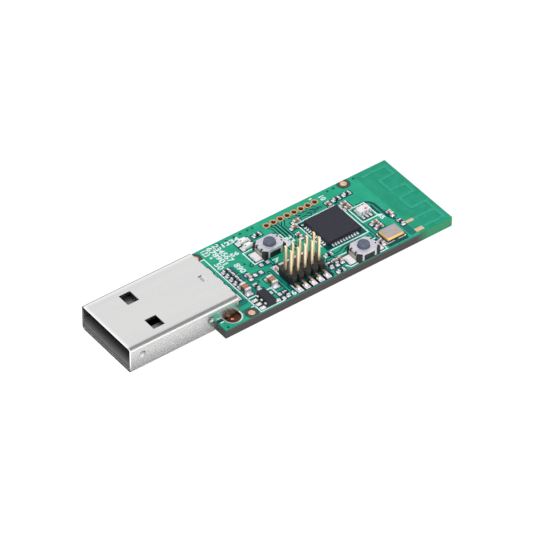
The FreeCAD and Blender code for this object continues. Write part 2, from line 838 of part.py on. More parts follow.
large_body, large_caps = chip_part(large_capacitor_length, large_capacitor_width, large_capacitor_height,
                                   large_capacitor_end, end_plate)
for number, spot in enumerate(large_capacitor_places, 1):
    large_x, large_y = on_board(spot)
    export("large_capacitor_" + str(number) + "_body", place(large_body, large_x, large_y, turned=True))
    export("large_capacitor_" + str(number) + "_ends",
           *[place(cap, large_x, large_y, turned=True) for cap in large_caps])

capacitor_body, capacitor_caps = small_chip_part(small_capacitor_height)
along = [on_board(spot) for spot in capacitors_along]
across = [on_board(spot) for spot in capacitors_across]
across += [from_near_edge(spot) for spot in edge_capacitors_across]
capacitor_bodies, capacitor_ends = spread(capacitor_body, capacitor_caps, along, across)
export("small_capacitor_bodies", *capacitor_bodies)
export("small_capacitor_ends", *capacitor_ends)

resistor_body, resistor_caps = small_chip_part(small_resistor_height)
along = [on_board(spot) for spot in resistors_along]
along += [from_near_edge(spot) for spot in edge_resistors_along]
along += [from_far_edge(spot) for spot in far_resistors_along]
across = [on_board(spot) for spot in resistors_across]
across += [from_near_edge(spot) for spot in edge_resistors_across]
resistor_bodies, resistor_ends = spread(resistor_body, resistor_caps, along, across)
export("resistor_bodies", *resistor_bodies)
export("resistor_ends", *resistor_ends)
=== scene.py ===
import math

import bmesh
import bpy
from mathutils import Matrix, Vector


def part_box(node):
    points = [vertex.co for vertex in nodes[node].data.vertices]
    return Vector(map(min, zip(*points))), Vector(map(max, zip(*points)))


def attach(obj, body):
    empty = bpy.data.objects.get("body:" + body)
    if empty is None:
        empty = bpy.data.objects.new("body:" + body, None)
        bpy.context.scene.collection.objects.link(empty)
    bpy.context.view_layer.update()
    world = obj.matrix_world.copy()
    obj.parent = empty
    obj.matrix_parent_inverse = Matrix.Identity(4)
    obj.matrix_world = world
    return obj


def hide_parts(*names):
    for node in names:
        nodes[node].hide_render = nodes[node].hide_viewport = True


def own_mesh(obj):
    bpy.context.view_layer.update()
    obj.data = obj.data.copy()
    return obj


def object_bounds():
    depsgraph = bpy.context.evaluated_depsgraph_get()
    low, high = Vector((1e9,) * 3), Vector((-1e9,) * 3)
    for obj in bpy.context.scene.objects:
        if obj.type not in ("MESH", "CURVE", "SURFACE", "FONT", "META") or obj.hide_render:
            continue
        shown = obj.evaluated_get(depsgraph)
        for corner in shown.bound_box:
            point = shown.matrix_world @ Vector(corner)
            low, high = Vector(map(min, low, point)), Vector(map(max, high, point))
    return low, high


# Looks for the USB radio stick. Metres, in the same frame as the solids:
# +X runs to the antenna end, +Y to the edge with the row of plated holes, +Z up.

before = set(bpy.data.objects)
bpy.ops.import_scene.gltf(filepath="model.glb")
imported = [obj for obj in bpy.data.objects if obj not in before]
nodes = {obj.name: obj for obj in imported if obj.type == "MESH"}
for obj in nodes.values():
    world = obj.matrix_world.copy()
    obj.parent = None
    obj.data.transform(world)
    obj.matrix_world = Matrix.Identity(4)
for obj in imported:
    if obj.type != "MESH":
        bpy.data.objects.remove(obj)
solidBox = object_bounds()
mm = 0.001
boardLow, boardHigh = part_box("circuit_board")
boardTop = boardHigh.z
boardFront = boardLow.x
print("solids loaded")


def toLinear(hexColour):
    # sRGB hex to the linear colour that shaders take
    parts = [int(hexColour[start:start + 2], 16) / 255 for start in (1, 3, 5)]
    linear = [part / 12.92 if part <= 0.04045 else ((part + 0.055) / 1.055) ** 2.4 for part in parts]
    return (*linear, 1)


def addNode(tree, kind, settings=None, links=None):
    node = tree.nodes.new(kind)
    for name, value in (settings or {}).items():
        if isinstance(name, str) and hasattr(node, name):
            setattr(node, name, value)
        else:
            node.inputs[name].default_value = value
    for name, source in (links or {}).items():
        tree.links.new(source, node.inputs[name])
    return node


def setStops(ramp, stops):
    # grey stops for a colour ramp: {position from 0 to 1: brightness}
    elements = ramp.color_ramp.elements
    elements.remove(elements[1])
    for position, brightness in stops.items():
        stop = elements.new(position) if position > 0 else elements[0]
        stop.color = (brightness,) * 3 + (1,)


def startMaterial(name, finish):
    material = bpy.data.materials.new(name)
    material.use_nodes = True
    tree = material.node_tree
    shader = tree.nodes["Principled BSDF"]
    for socket, value in finish.items():
        shader.inputs[socket].default_value = value
    return material, tree, shader


def grainedMaterial(name, look):
    # two close tones in soft patches, a roughness that wanders with them and a fine bump, sized in millimetres
    material, tree, shader = startMaterial(name, look["finish"])
    place = addNode(tree, "ShaderNodeTexCoord").outputs["Object"]
    stretch = look.get("stretch", (1, 1, 1))
    place = addNode(tree, "ShaderNodeMapping", {"Scale": stretch}, {"Vector": place}).outputs[0]
    patches = addNode(tree, "ShaderNodeTexNoise", {"Scale": 1 / (look["patchMm"] * mm), "Detail": 3}, {"Vector": place})
    grain = addNode(tree, "ShaderNodeTexNoise", {"Scale": 1 / (look["grainMm"] * mm), "Detail": 2}, {"Vector": place})
    spread = addNode(tree, "ShaderNodeMapRange", {1: 0.3, 2: 0.7}, {0: patches.outputs[0]}).outputs[0]
    dark, light = [toLinear(colour) for colour in look["colours"]]
    tone = addNode(tree, "ShaderNodeMix", {"data_type": "RGBA", 6: dark, 7: light}, {0: spread}).outputs[2]
    low, high = look["roughness"]
    gloss = addNode(tree, "ShaderNodeMapRange", {1: 0.3, 2: 0.7, 3: low, 4: high}, {0: grain.outputs[0]}).outputs[0]
    bump = addNode(tree, "ShaderNodeBump", {"Strength": look["bump"], "Distance": look["grainMm"] * mm * 0.2},
                   {"Height": grain.outputs[0]}).outputs[0]
    tree.links.new(tone, shader.inputs["Base Color"])
    tree.links.new(gloss, shader.inputs["Roughness"])
    tree.links.new(bump, shader.inputs["Normal"])
    return material


# Materials

# Nickel-plated steel strip, rolled then folded: a pale satin face with faint lines along the strip.
# The rolling lines are about 0.02 mm apart, and drawn at 0.12 mm so that they show.
platedSteel = grainedMaterial("nickelPlatedSteel", {
    "colours": ("#FAFAFA", "#FFFFFE"), "patchMm": 2.5, "grainMm": 0.12, "stretch": (0.08, 1, 1),
    "roughness": (0.26, 0.28), "bump": 0.0002, "finish": {"Metallic": 1.0}})
# painted shade: the strip is darkened beside its folds, a dark band that stands in for its reflection there: tone by
# millimetres across the plug
foldShadeTones = {-6.0: 0.94, -5.995: 1.0, -5.72: 1.0, -5.62: 0.85, -5.5: 0.7, -5.4: 0.64, -5.28: 0.8,
             -5.15: 0.87, 5.05: 0.87, 5.12: 1.0, 5.55: 1.0, 5.6: 0.12, 5.86: 0.12, 5.95: 0.9}
# painted shade on the cut edges at the mouth: the lower and far ones are darkened, as they face the shadow under the
# plug
lowRimShadeTones = {0: 0.02, 0.34: 0.02, 0.42: 1.0}
farRimShadeTones = {5.5: 1.0, 5.6: 0.06, 6.0: 0.06}
# painted highlight: the roof's front strip at the mouth is brightened
mouthRimHighlightTones = {-28.33: 1.16, -28.08: 1.16, -27.95: 1.0}


def toneBy(material, axis, tones, where=None):
    # darkens a material by millimetres along an axis. where keeps it to some faces or to a region:
    # ("Normal" or "Place", axis, value where it has no effect, value where it has all)
    tree = material.node_tree
    shader = tree.nodes["Principled BSDF"]
    plain = shader.inputs["Base Color"].links[0].from_socket
    place = addNode(tree, "ShaderNodeTexCoord").outputs["Object"]
    along = addNode(tree, "ShaderNodeSeparateXYZ", {}, {0: place}).outputs[axis]
    low, high = min(tones), max(tones)
    share = addNode(tree, "ShaderNodeMapRange", {1: low * mm, 2: high * mm}, {0: along}).outputs[0]
    ramp = addNode(tree, "ShaderNodeValToRGB", {}, {0: share})
    setStops(ramp, {(place - low) / (high - low): tone for place, tone in tones.items()})
    limit = {}
    if where:
        kind, limitAxis, none, full = where
        source = place
        if kind == "Normal":
            source = addNode(tree, "ShaderNodeNewGeometry").outputs["True Normal"]
        parts = addNode(tree, "ShaderNodeSeparateXYZ", {}, {0: source})
        limit[0] = addNode(tree, "ShaderNodeMapRange", {1: none, 2: full}, {0: parts.outputs[limitAxis]}).outputs[0]
    toned = addNode(tree, "ShaderNodeMix", {"data_type": "RGBA", "blend_type": "MULTIPLY", 0: 1.0},
                    {6: plain, 7: ramp.outputs[0], **limit}).outputs[2]
    tree.links.new(toned, shader.inputs["Base Color"])


legShadeTones = {0: 0.25, 1.3: 0.25, 1.6: 0.35, 1.8: 0.5, 2.0: 1.0}   # painted shade on the legs in their holes and on the wall's foot
towardMouth = ("Normal", 0, -0.5, -0.8)
upward = ("Normal", 2, 0.5, 0.8)
toneBy(platedSteel, 1, foldShadeTones, where=("Place", 2, 3.5 * mm, 3.7 * mm))
toneBy(platedSteel, 2, lowRimShadeTones, where=towardMouth)
toneBy(platedSteel, 1, farRimShadeTones, where=towardMouth)
toneBy(platedSteel, 0, mouthRimHighlightTones, where=upward)
# painted shade and highlight: the dimples are darkened on the slopes that face the mouth or the ground, the locking
# tab's slope is brightened
toneBy(platedSteel, 0, {-28.1: 1.08, -28.0: 0.6, -12.6: 0.6, -12.5: 0.75, -11.02: 0.75, -10.94: 1.1},
       where=("Normal", 0, -0.1, -0.25))
toneBy(platedSteel, 2, {1.8: 1.0, 1.95: 0.6, 3.3: 0.6, 3.4: 1.0}, where=("Normal", 2, -0.08, -0.25))
toneBy(platedSteel, 2, legShadeTones, where=("Place", 0, boardFront, boardFront + 0.1 * mm))

# PBT, moulded dark grey: a dull even face with a slight sheen, with painted shade on its front face up inside the mouth
# and on its upward faces.
plugPlastic = grainedMaterial("mouldedPbt", {
    "colours": ("#5E5E60", "#68686A"), "patchMm": 1.2, "grainMm": 0.08,
    "roughness": (0.42, 0.55), "bump": 0.15, "finish": {"IOR": 1.55, "Specular IOR Level": 0.3}})
toneBy(plugPlastic, 2, {0: 1.0, 1.48: 1.0, 1.56: 0.3, 4.5: 0.3}, where=towardMouth)
toneBy(plugPlastic, 0, {-28.3: 0.47, -27.65: 0.47, -27.4: 0.36, -25.5: 0.36, -24.5: 0.75, 0: 0.75}, where=upward)
# the light that comes in at the windows shows on the moulding under their near edges
toneBy(plugPlastic, 1, {-2.9: 1.0, -2.4: 3.2, -2.0: 3.2, -1.2: 1.0, 3.4: 1.0, 3.9: 3.2, 4.3: 3.2, 5.1: 1.0},
       where=("Place", 0, -24.0 * mm, -23.5 * mm))

# Phosphor bronze strip, gold plated: soft yellow with a fine drawn grain.
contactGold = grainedMaterial("goldPlatedBronze", {
    "colours": ("#D9B26A", "#E9C784"), "patchMm": 0.8, "grainMm": 0.06, "stretch": (0.15, 1, 1),
    "roughness": (0.2, 0.34), "bump": 0.1, "finish": {"Metallic": 1.0}})

toneBy(contactGold, 0, {-28.3: 0.2, -13.2: 0.2, -12.5: 1.0})   # in shadow inside the plug

# Immersion gold on copper pads: flat peach gold, slightly frosted.
padGold = grainedMaterial("immersionGold", {
    "colours": ("#E3B78C", "#F6D9B4"), "patchMm": 0.4, "grainMm": 0.05,
    "roughness": (0.36, 0.5), "bump": 0.12, "finish": {"Metallic": 0.5}})

# Reflowed tin solder: bright, wet-looking and slightly uneven.
solder = grainedMaterial("reflowedSolder", {
    "colours": ("#CEC8DA", "#FFFFFF"), "patchMm": 0.3, "grainMm": 0.12,
    "roughness": (0.22, 0.4), "bump": 0.25, "finish": {"Metallic": 0.25}})

# The thin even solder at the radio chip's lands: a lit copy of the solder, painted brighter as it lies flat.
litLandSolder = grainedMaterial("litFlatSolder", {
    "colours": ("#FAF8FD", "#FFFFFF"), "patchMm": 0.35, "grainMm": 0.12,
    "roughness": (0.3, 0.4), "bump": 0.1, "finish": {"Metallic": 0.05}})

# Solder under a brown skin of flux, down in the holes of the plug's legs, darkened further with painted shade; and a
# painted glint for the spot where it shines.
fluxedShadedSolder = grainedMaterial("fluxedShadedSolder", {
    "colours": ("#150C09", "#6A3E28"), "patchMm": 0.6, "grainMm": 0.15,
    "roughness": (0.3, 0.45), "bump": 0.25, "finish": {"IOR": 1.5}})
paintedFluxGlint = grainedMaterial("clearFluxPaintedGlint", {
    "colours": ("#C97C48", "#F2B880"), "patchMm": 0.4, "grainMm": 0.15,
    "roughness": (0.2, 0.3), "bump": 0.2, "finish": {"IOR": 1.5}})

# Matt tin plating on terminals: white-grey with no clear reflection.
tinPlate = grainedMaterial("tinPlating", {
    "colours": ("#DAD6E0", "#FFFFFF"), "patchMm": 0.3, "grainMm": 0.05,
    "roughness": (0.28, 0.42), "bump": 0.12, "finish": {"Metallic": 0.3}})

# painted shade: faces turned to the near side are darker low down, and faces turned to the mouth are darkened
toneBy(tinPlate, 2, {1.6: 0.42, 2.3: 0.62, 3.2: 0.85}, where=("Normal", 1, -0.5, -0.8))
toneBy(tinPlate, 2, {0: 0.75, 8: 0.75}, where=towardMouth)

# The same plating on formed terminals and leads, whose risers carry painted shade: tone by height.
tabTin = grainedMaterial("formedTabPlating", {
    "colours": ("#FAF2EE", "#FFFDFC"), "patchMm": 0.3, "grainMm": 0.05,
    "roughness": (0.28, 0.42), "bump": 0.12, "finish": {"Metallic": 0.08}})
toneBy(tabTin, 2, {1.6: 1.0, 1.8: 1.0, 1.86: 0.3, 2.7: 0.45})
leadTin = grainedMaterial("formedLeadPlating", {
    "colours": ("#F8F4EC", "#FFFEFA"), "patchMm": 0.3, "grainMm": 0.05,
    "roughness": (0.28, 0.42), "bump": 0.12, "finish": {"Metallic": 0.05}})
toneBy(leadTin, 2, {1.6: 1.0, 1.8: 1.0, 1.86: 0.08, 2.16: 0.08, 2.22: 1.0})

# Filled epoxy, transfer moulded: matt charcoal with the fine sparkle of its silica filler, drawn at 0.05 mm.
chipEpoxy = grainedMaterial("mouldedEpoxy", {
    "colours": ("#272833", "#31323E"), "patchMm": 0.35, "grainMm": 0.07,
    "roughness": (0.5, 0.68), "bump": 0.25, "finish": {"IOR": 1.5, "Specular IOR Level": 0.3}})

# Liquid-crystal polymer, moulded: near-black with flow marks.
headerPlastic = grainedMaterial("mouldedLcp", {
    "colours": ("#0E0E11", "#1D1D22"), "patchMm": 0.8, "grainMm": 0.1,
    "roughness": (0.38, 0.55), "bump": 0.2, "finish": {"IOR": 1.6}})

# Brass wire, drawn square and gold plated: pale yellow with lines along the pin.
pinGold = grainedMaterial("goldPlatedPins", {
    "colours": ("#F0C999", "#FFEDCE"), "patchMm": 0.5, "grainMm": 0.1, "stretch": (1, 1, 0.1),
    "roughness": (0.2, 0.26), "bump": 0.01, "finish": {"Metallic": 0.55}})
toneBy(pinGold, 2, {3.2: 0.55, 4.1: 1.0, 8.0: 1.0}, where=("Place", 2, 3.1 * mm, 3.2 * mm))   # painted shade: dimmer near the strip
toneBy(pinGold, 2, {0: 1.5, 8: 1.5}, where=("Normal", 1, -0.5, -0.8))   # and a painted highlight on the near side
# painted shade on the faces turned to the mouth
toneBy(pinGold, 2, {0: 0.6, 8: 0.6}, where=towardMouth)

toneBy(pinGold, 1, {-7.6: 1.0, -7.0: 1.0, -6.8: 0.3, -6.0: 0.3, -5.9: 1.0},
       where=("Place", 2, 2.4 * mm, 2.2 * mm))   # painted shade: the feet are darkened up to their trimmed tips

# Glass-filled nylon, moulded black: dull and slightly mottled.
buttonNylon = grainedMaterial("glassFilledNylon", {
    "colours": ("#0B0C10", "#181A20"), "patchMm": 0.5, "grainMm": 0.07,
    "roughness": (0.45, 0.6), "bump": 0.25, "finish": {"IOR": 1.53}})

# Tin-plated steel sheet, stamped: light grey with a warm cast and soft stamping marks.
coverSteel = grainedMaterial("stampedCoverSteel", {
    "colours": ("#CBC9D3", "#E3E2EB"), "patchMm": 0.7, "grainMm": 0.08,
    "roughness": (0.36, 0.5), "bump": 0.2, "finish": {"Metallic": 0.4}})

# Stainless spring strip, rolled: plain grey shine.
domeSteel = grainedMaterial("springSteel", {
    "colours": ("#B9B9BB", "#CACACC"), "patchMm": 0.6, "grainMm": 0.06,
    "roughness": (0.2, 0.3), "bump": 0.08, "finish": {"Metallic": 1.0}})

# Nylon plunger, moulded blue-grey: satin.
plungerNylon = grainedMaterial("mouldedPlungerNylon", {
    "colours": ("#4E5668", "#626B80"), "patchMm": 0.5, "grainMm": 0.06,
    "roughness": (0.36, 0.5), "bump": 0.15, "finish": {"IOR": 1.53}})

# Fired ceramic of the crystal's case: brown-black and matt.
caseCeramic = grainedMaterial("firedBlackCeramic", {
    "colours": ("#241F1E", "#342D2B"), "patchMm": 0.4, "grainMm": 0.05,
    "roughness": (0.5, 0.65), "bump": 0.25, "finish": {"IOR": 1.7}})

# Gold-plated seal ring, brazed: deep amber yellow where the lid's weld flows out.
sealGold = grainedMaterial("brazedSealGold", {
    "colours": ("#FBC25A", "#FFDE96"), "patchMm": 0.3, "grainMm": 0.06,
    "roughness": (0.26, 0.4), "bump": 0.15, "finish": {"Metallic": 0.2}})

# Nickel-plated iron alloy lid, rolled: even light grey.
lidNickel = grainedMaterial("nickelPlatedLid", {
    "colours": ("#B2A7A6", "#C2B7B6"), "patchMm": 0.6, "grainMm": 0.06, "stretch": (0.3, 1, 1),
    "roughness": (0.4, 0.52), "bump": 0.15, "finish": {"Metallic": 0.35}})

# Glazed low-fire ceramic of the balun: milky white.
balunCeramic = grainedMaterial("whiteGlazedCeramic", {
    "colours": ("#E4E1E6", "#F4F2F5"), "patchMm": 0.4, "grainMm": 0.05,
    "roughness": (0.3, 0.42), "bump": 0.12, "finish": {"IOR": 1.6}})

# Red ink dot that marks the balun's first terminal.
redInk = grainedMaterial("redMarkingInk", {
    "colours": ("#E0503E", "#F2745E"), "patchMm": 0.2, "grainMm": 0.04,
    "roughness": (0.45, 0.6), "bump": 0.2, "finish": {"IOR": 1.5}})

# White resin laminate under the lamp, and its milky cast lens.
lampLaminate = grainedMaterial("whiteResinLaminate", {
    "colours": ("#DDDCD6", "#ECEBE6"), "patchMm": 0.3, "grainMm": 0.05,
    "roughness": (0.4, 0.55), "bump": 0.15, "finish": {"IOR": 1.5}})
lampResin = grainedMaterial("milkyCastResin", {
    "colours": ("#FFFBFA", "#FFFFFE"), "patchMm": 0.3, "grainMm": 0.08,
    "roughness": (0.12, 0.2), "bump": 0.05,
    "finish": {"IOR": 1.52, "Subsurface Weight": 0.12, "Subsurface Radius": (0.0004,) * 3}})

# Lamp dies under the lens, seen as a red and a green spot.
redDie = grainedMaterial("redLampDie", {
    "colours": ("#C0504A", "#D8726A"), "patchMm": 0.2, "grainMm": 0.05,
    "roughness": (0.4, 0.5), "bump": 0.1, "finish": {"IOR": 1.5}})
greenDie = grainedMaterial("greenLampDie", {
    "colours": ("#3FA36B", "#63C08C"), "patchMm": 0.2, "grainMm": 0.05,
    "roughness": (0.4, 0.5), "bump": 0.1, "finish": {"IOR": 1.5}})

# Black overglaze on thick-film resistors: glossy and even.
resistorGlaze = grainedMaterial("blackOverglaze", {
    "colours": ("#17171C", "#26262E"), "patchMm": 0.3, "grainMm": 0.06,
    "roughness": (0.2, 0.34), "bump": 0.15, "finish": {"IOR": 1.55}})

# Screen-printed epoxy ink on the board: white with a cool cast, slightly raised and chalky.
whiteInk = grainedMaterial("screenPrintedInk", {
    "colours": ("#D8F4F5", "#F2FFFF"), "patchMm": 0.4, "grainMm": 0.06,
    "roughness": (0.5, 0.65), "bump": 0.3, "finish": {"IOR": 1.5}})

# cured mask film: its gloss is low, since the light on the board is even and wide
maskFilm = {"IOR": 1.5, "Specular IOR Level": 0.16}

# Copper under the mask: the same film over bright metal, so a lighter green line.
maskedCopper = grainedMaterial("maskOverCopper", {
    "colours": ("#2AA583", "#3AB895"), "patchMm": 0.8, "grainMm": 0.1,
    "roughness": (0.22, 0.34), "bump": 0.12, "finish": maskFilm})

# Antenna copper under the mask, where no ground plane brightens what is round it.
antennaCopper = grainedMaterial("maskOverAntennaCopper", {
    "colours": ("#229C80", "#30AA8E"), "patchMm": 0.8, "grainMm": 0.1,
    "roughness": (0.22, 0.34), "bump": 0.12, "finish": maskFilm})

# Mask over bare laminate, in the gaps that part one copper area from the next: deep teal.
maskedGap = grainedMaterial("maskOverBareLaminate", {
    "colours": ("#09424A", "#105759"), "patchMm": 0.8, "grainMm": 0.1,
    "roughness": (0.24, 0.36), "bump": 0.15, "finish": maskFilm})

# Mask over thin or deeper copper: a step darker than the ground plane.
thinCopper = grainedMaterial("maskOverThinCopper", {
    "colours": ("#0F7368", "#188076"), "patchMm": 0.8, "grainMm": 0.1,
    "roughness": (0.24, 0.36), "bump": 0.15, "finish": maskFilm})

# Bare laminate inside a fiducial's ring, where the mask is left off: dull brown.
bareLaminate = grainedMaterial("bareGlassLaminate", {
    "colours": ("#3C3234", "#5C4E4E"), "patchMm": 0.3, "grainMm": 0.08,
    "roughness": (0.5, 0.65), "bump": 0.3, "finish": {"IOR": 1.5}})

# The shadowed inside of a small plated hole.
holeShade = grainedMaterial("copperInHole", {
    "colours": ("#0C5A4C", "#136B58"), "patchMm": 0.2, "grainMm": 0.05,
    "roughness": (0.5, 0.6), "bump": 0.2, "finish": {"Metallic": 0.4}})

# Ceramic of the multilayer capacitors, one shade for each firing seen on the board.
capacitorShades = {"tan": ("#9C6B45", "#B98355"), "pink": ("#C99A98", "#DDB3AE"), "mauve": ("#8E6F72", "#A88689"),
                   "peach": ("#DDB09C", "#EDC6B2"), "brick": ("#A8684C", "#BC7C60")}
capacitorCeramics = {
    shade: grainedMaterial("capacitorCeramic_" + shade, {
        "colours": colours, "patchMm": 0.25, "grainMm": 0.05,
        "roughness": (0.42, 0.56), "bump": 0.2, "finish": {"IOR": 1.6}})
    for shade, colours in capacitorShades.items()}
for ceramic in capacitorCeramics.values():
    toneBy(ceramic, 2, {0: 0.36, 8: 0.36}, where=towardMouth)   # the side turned from the light

boardLook = {
    "copperGreen": ("#179E7B", "#29AF8B"),   # mask over the ground plane
    "antennaGreen": ("#129270", "#20A080"),  # mask over bare laminate at the antenna
    "zoneStart": 35.45,                      # mm from the board's front edge
    "edgeBrown": ("#413D3D", "#645E5E"),     # cut laminate beside the copper layers
    "edgeClear": ("#348A5C", "#4CA27A"),     # cut laminate at the antenna, greened by the mask's edge
    "edgeRim": ("#3A6A62", "#527E76"),       # mask that runs over the edge's upper rim
    "rimMm": 0.26,
    "edgeGreen": ("#3A423F", "#5E6862"),     # front edge, with mask run over it
    "layerMm": 0.2,                          # glass layers in the cut edge
}


def boardMaterial():
    # Woven glass laminate under green solder mask: a wet-look film on the faces and a fibrous cut edge.
    material, tree, shader = startMaterial("solderMaskOnLaminate", maskFilm)
    place = addNode(tree, "ShaderNodeTexCoord").outputs["Object"]
    axes = addNode(tree, "ShaderNodeSeparateXYZ", {}, {0: place})
    facing = addNode(tree, "ShaderNodeSeparateXYZ", {}, {0: addNode(tree, "ShaderNodeNewGeometry").outputs["Normal"]})
    patches = addNode(tree, "ShaderNodeTexNoise", {"Scale": 1 / (1.6 * mm), "Detail": 4}, {"Vector": place})
    patches = addNode(tree, "ShaderNodeMapRange", {1: 0.3, 2: 0.7}, {0: patches.outputs[0]}).outputs[0]
    weave = addNode(tree, "ShaderNodeTexNoise", {"Scale": 1 / (0.12 * mm), "Detail": 2}, {"Vector": place})

    def mixed(colours, factor):
        low, high = [toLinear(colour) for colour in colours]
        return addNode(tree, "ShaderNodeMix", {"data_type": "RGBA", 6: low, 7: high}, {0: factor}).outputs[2]

    def joined(first, second, factor):
        return addNode(tree, "ShaderNodeMix", {"data_type": "RGBA"}, {0: factor, 6: first, 7: second}).outputs[2]

    zoneX = boardFront + boardLook["zoneStart"] * mm
    pastZone = addNode(tree, "ShaderNodeMapRange", {1: zoneX - 0.05 * mm, 2: zoneX + 0.05 * mm},
                       {0: axes.outputs[0]}).outputs[0]
    face = joined(mixed(boardLook["copperGreen"], patches), mixed(boardLook["antennaGreen"], patches), pastZone)
    # layers of glass cloth in the cut edge, one band for each
    bands = addNode(tree, "ShaderNodeTexWave", {"bands_direction": "Z", "Scale": 0.157 / (boardLook["layerMm"] * mm),
                                                "Distortion": 1.5, "Detail": 2}, {"Vector": place})
    cut = addNode(tree, "ShaderNodeMath", {"operation": "MULTIPLY_ADD", 1: 0.6},
                  {0: bands.outputs[1], 2: addNode(tree, "ShaderNodeMath", {"operation": "MULTIPLY", 1: 0.4},
                                                   {0: weave.outputs[0]}).outputs[0]}).outputs[0]
    pastCopper = addNode(tree, "ShaderNodeMapRange", {1: zoneX - 0.6 * mm, 2: zoneX + 1.6 * mm},
                         {0: axes.outputs[0]}).outputs[0]
    edge = joined(mixed(boardLook["edgeBrown"], cut), mixed(boardLook["edgeClear"], cut), pastCopper)
    rimLevel = boardTop - boardLook["rimMm"] * mm
    rim = addNode(tree, "ShaderNodeMapRange", {1: rimLevel - 0.05 * mm, 2: rimLevel + 0.03 * mm},
                  {0: axes.outputs[2]}).outputs[0]
    rim = addNode(tree, "ShaderNodeMath", {"operation": "MULTIPLY_ADD", 1: -1.0}, {0: pastCopper, 2: rim})
    rim.use_clamp = True
    edge = joined(edge, mixed(boardLook["edgeRim"], cut), rim.outputs[0])
    frontEdge = addNode(tree, "ShaderNodeMath", {"operation": "LESS_THAN", 1: -0.5}, {0: facing.outputs[0]}).outputs[0]
    edge = joined(edge, mixed(boardLook["edgeGreen"], cut), frontEdge)
    upright = addNode(tree, "ShaderNodeMath", {"operation": "ABSOLUTE"}, {0: facing.outputs[2]}).outputs[0]
    flat = addNode(tree, "ShaderNodeMath", {"operation": "GREATER_THAN", 1: 0.5}, {0: upright}).outputs[0]
    gloss = addNode(tree, "ShaderNodeMapRange", {1: 0, 2: 1, 3: 0.62, 4: 0.28}, {0: flat}).outputs[0]
    bump = addNode(tree, "ShaderNodeBump", {"Strength": 0.12, "Distance": 0.02 * mm}, {"Height": weave.outputs[0]})
    tree.links.new(joined(edge, face, flat), shader.inputs["Base Color"])
    tree.links.new(gloss, shader.inputs["Roughness"])
    tree.links.new(bump.outputs[0], shader.inputs["Normal"])
    return material


def platedHoleMaterial(name, faceColours, barrelColours):
    # Plating that is bright on the ring and brown with shadow and flux down the barrel.
    material, tree, shader = startMaterial(name, {"Metallic": 0.8})
    place = addNode(tree, "ShaderNodeTexCoord").outputs["Object"]
    grain = addNode(tree, "ShaderNodeTexNoise", {"Scale": 1 / (0.2 * mm), "Detail": 3}, {"Vector": place}).outputs[0]
    facing = addNode(tree, "ShaderNodeSeparateXYZ", {}, {0: addNode(tree, "ShaderNodeNewGeometry").outputs["Normal"]})
    upright = addNode(tree, "ShaderNodeMath", {"operation": "ABSOLUTE"}, {0: facing.outputs[2]}).outputs[0]
    tones = []
    for colours in (barrelColours, faceColours):
        low, high = [toLinear(colour) for colour in colours]
        tones.append(addNode(tree, "ShaderNodeMix", {"data_type": "RGBA", 6: low, 7: high}, {0: grain}).outputs[2])
    tone = addNode(tree, "ShaderNodeMix", {"data_type": "RGBA"}, {0: upright, 6: tones[0], 7: tones[1]}).outputs[2]
    gloss = addNode(tree, "ShaderNodeMapRange", {3: 0.22, 4: 0.42}, {0: grain}).outputs[0]
    bump = addNode(tree, "ShaderNodeBump", {"Strength": 0.15, "Distance": 0.02 * mm}, {"Height": grain}).outputs[0]
    tree.links.new(tone, shader.inputs["Base Color"])
    tree.links.new(gloss, shader.inputs["Roughness"])
    tree.links.new(bump, shader.inputs["Normal"])
    return material


boardSurface = boardMaterial()
goldHole = platedHoleMaterial("immersionGoldHole", ("#DDA079", "#F4C69C"), ("#381408", "#7A3A1C"))
tinnedHole = platedHoleMaterial("tinnedHole", ("#CFC9D4", "#FFFFFF"), ("#2A150C", "#E0935A"))
print("materials made")


# Mesh tools

def newPiece(name, mesh, material, body="stick"):
    piece = bpy.data.objects.new(name, mesh)
    bpy.context.scene.collection.objects.link(piece)
    if material is not None:
        mesh.materials.append(material)
    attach(piece, body)
    return piece


def toMesh(name, work, smooth=False):
    bmesh.ops.recalc_face_normals(work, faces=work.faces)
    mesh = bpy.data.meshes.new(name)
    work.to_mesh(mesh)
    work.free()
    if smooth:
        mesh.shade_smooth()
    return mesh


def softened(nodeName, radius, material, body="stick", segments=2, angle=30):
    # a copy of a solid whose edges are rounded as moulding, plating or stamping leaves them
    work = bmesh.new()
    work.from_mesh(nodes[nodeName].data)
    bmesh.ops.remove_doubles(work, verts=work.verts, dist=1e-7)
    bmesh.ops.dissolve_limit(work, angle_limit=math.radians(1), verts=work.verts, edges=work.edges)
    mesh = toMesh(nodeName + "_dressed", work, smooth=True)
    piece = newPiece(nodeName + "_dressed", mesh, material, body)
    bevel = piece.modifiers.new("softEdges", "BEVEL")
    bevel.width = radius * mm
    bevel.segments = segments
    bevel.limit_method = "ANGLE"
    bevel.angle_limit = math.radians(angle)
    flats = piece.modifiers.new("flatFaces", "WEIGHTED_NORMAL")
    flats.weight = 100
    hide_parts(nodeName)
    return piece


def solidBoxes(nodeName):
    # lowest and highest corner of each separate solid in a node, in order along the stick
    work = bmesh.new()
    work.from_mesh(nodes[nodeName].data)
    bmesh.ops.remove_doubles(work, verts=work.verts, dist=1e-7)
    boxes = []
    seen = set()
    for first in work.verts:
        if first in seen:
            continue
        seen.add(first)
        queue = [first]
        points = []
        while queue:
            vert = queue.pop()
            points.append(vert.co.copy())
            near = [edge.other_vert(vert) for edge in vert.link_edges]
            fresh = [other for other in near if other not in seen]
            seen.update(fresh)
            queue += fresh
        low = Vector([min(point[axis] for point in points) for axis in range(3)])
        high = Vector([max(point[axis] for point in points) for axis in range(3)])
        boxes.append((low, high))
    work.free()
    return sorted(boxes, key=lambda box: (round(box[0].x, 5), box[0].y))


def onBoard(along, across, lift=0.0):
    # a place counted in millimetres from the board's front edge, from its centre line and from its top
    return Vector((boardFront + along * mm, across * mm, boardTop + lift * mm))


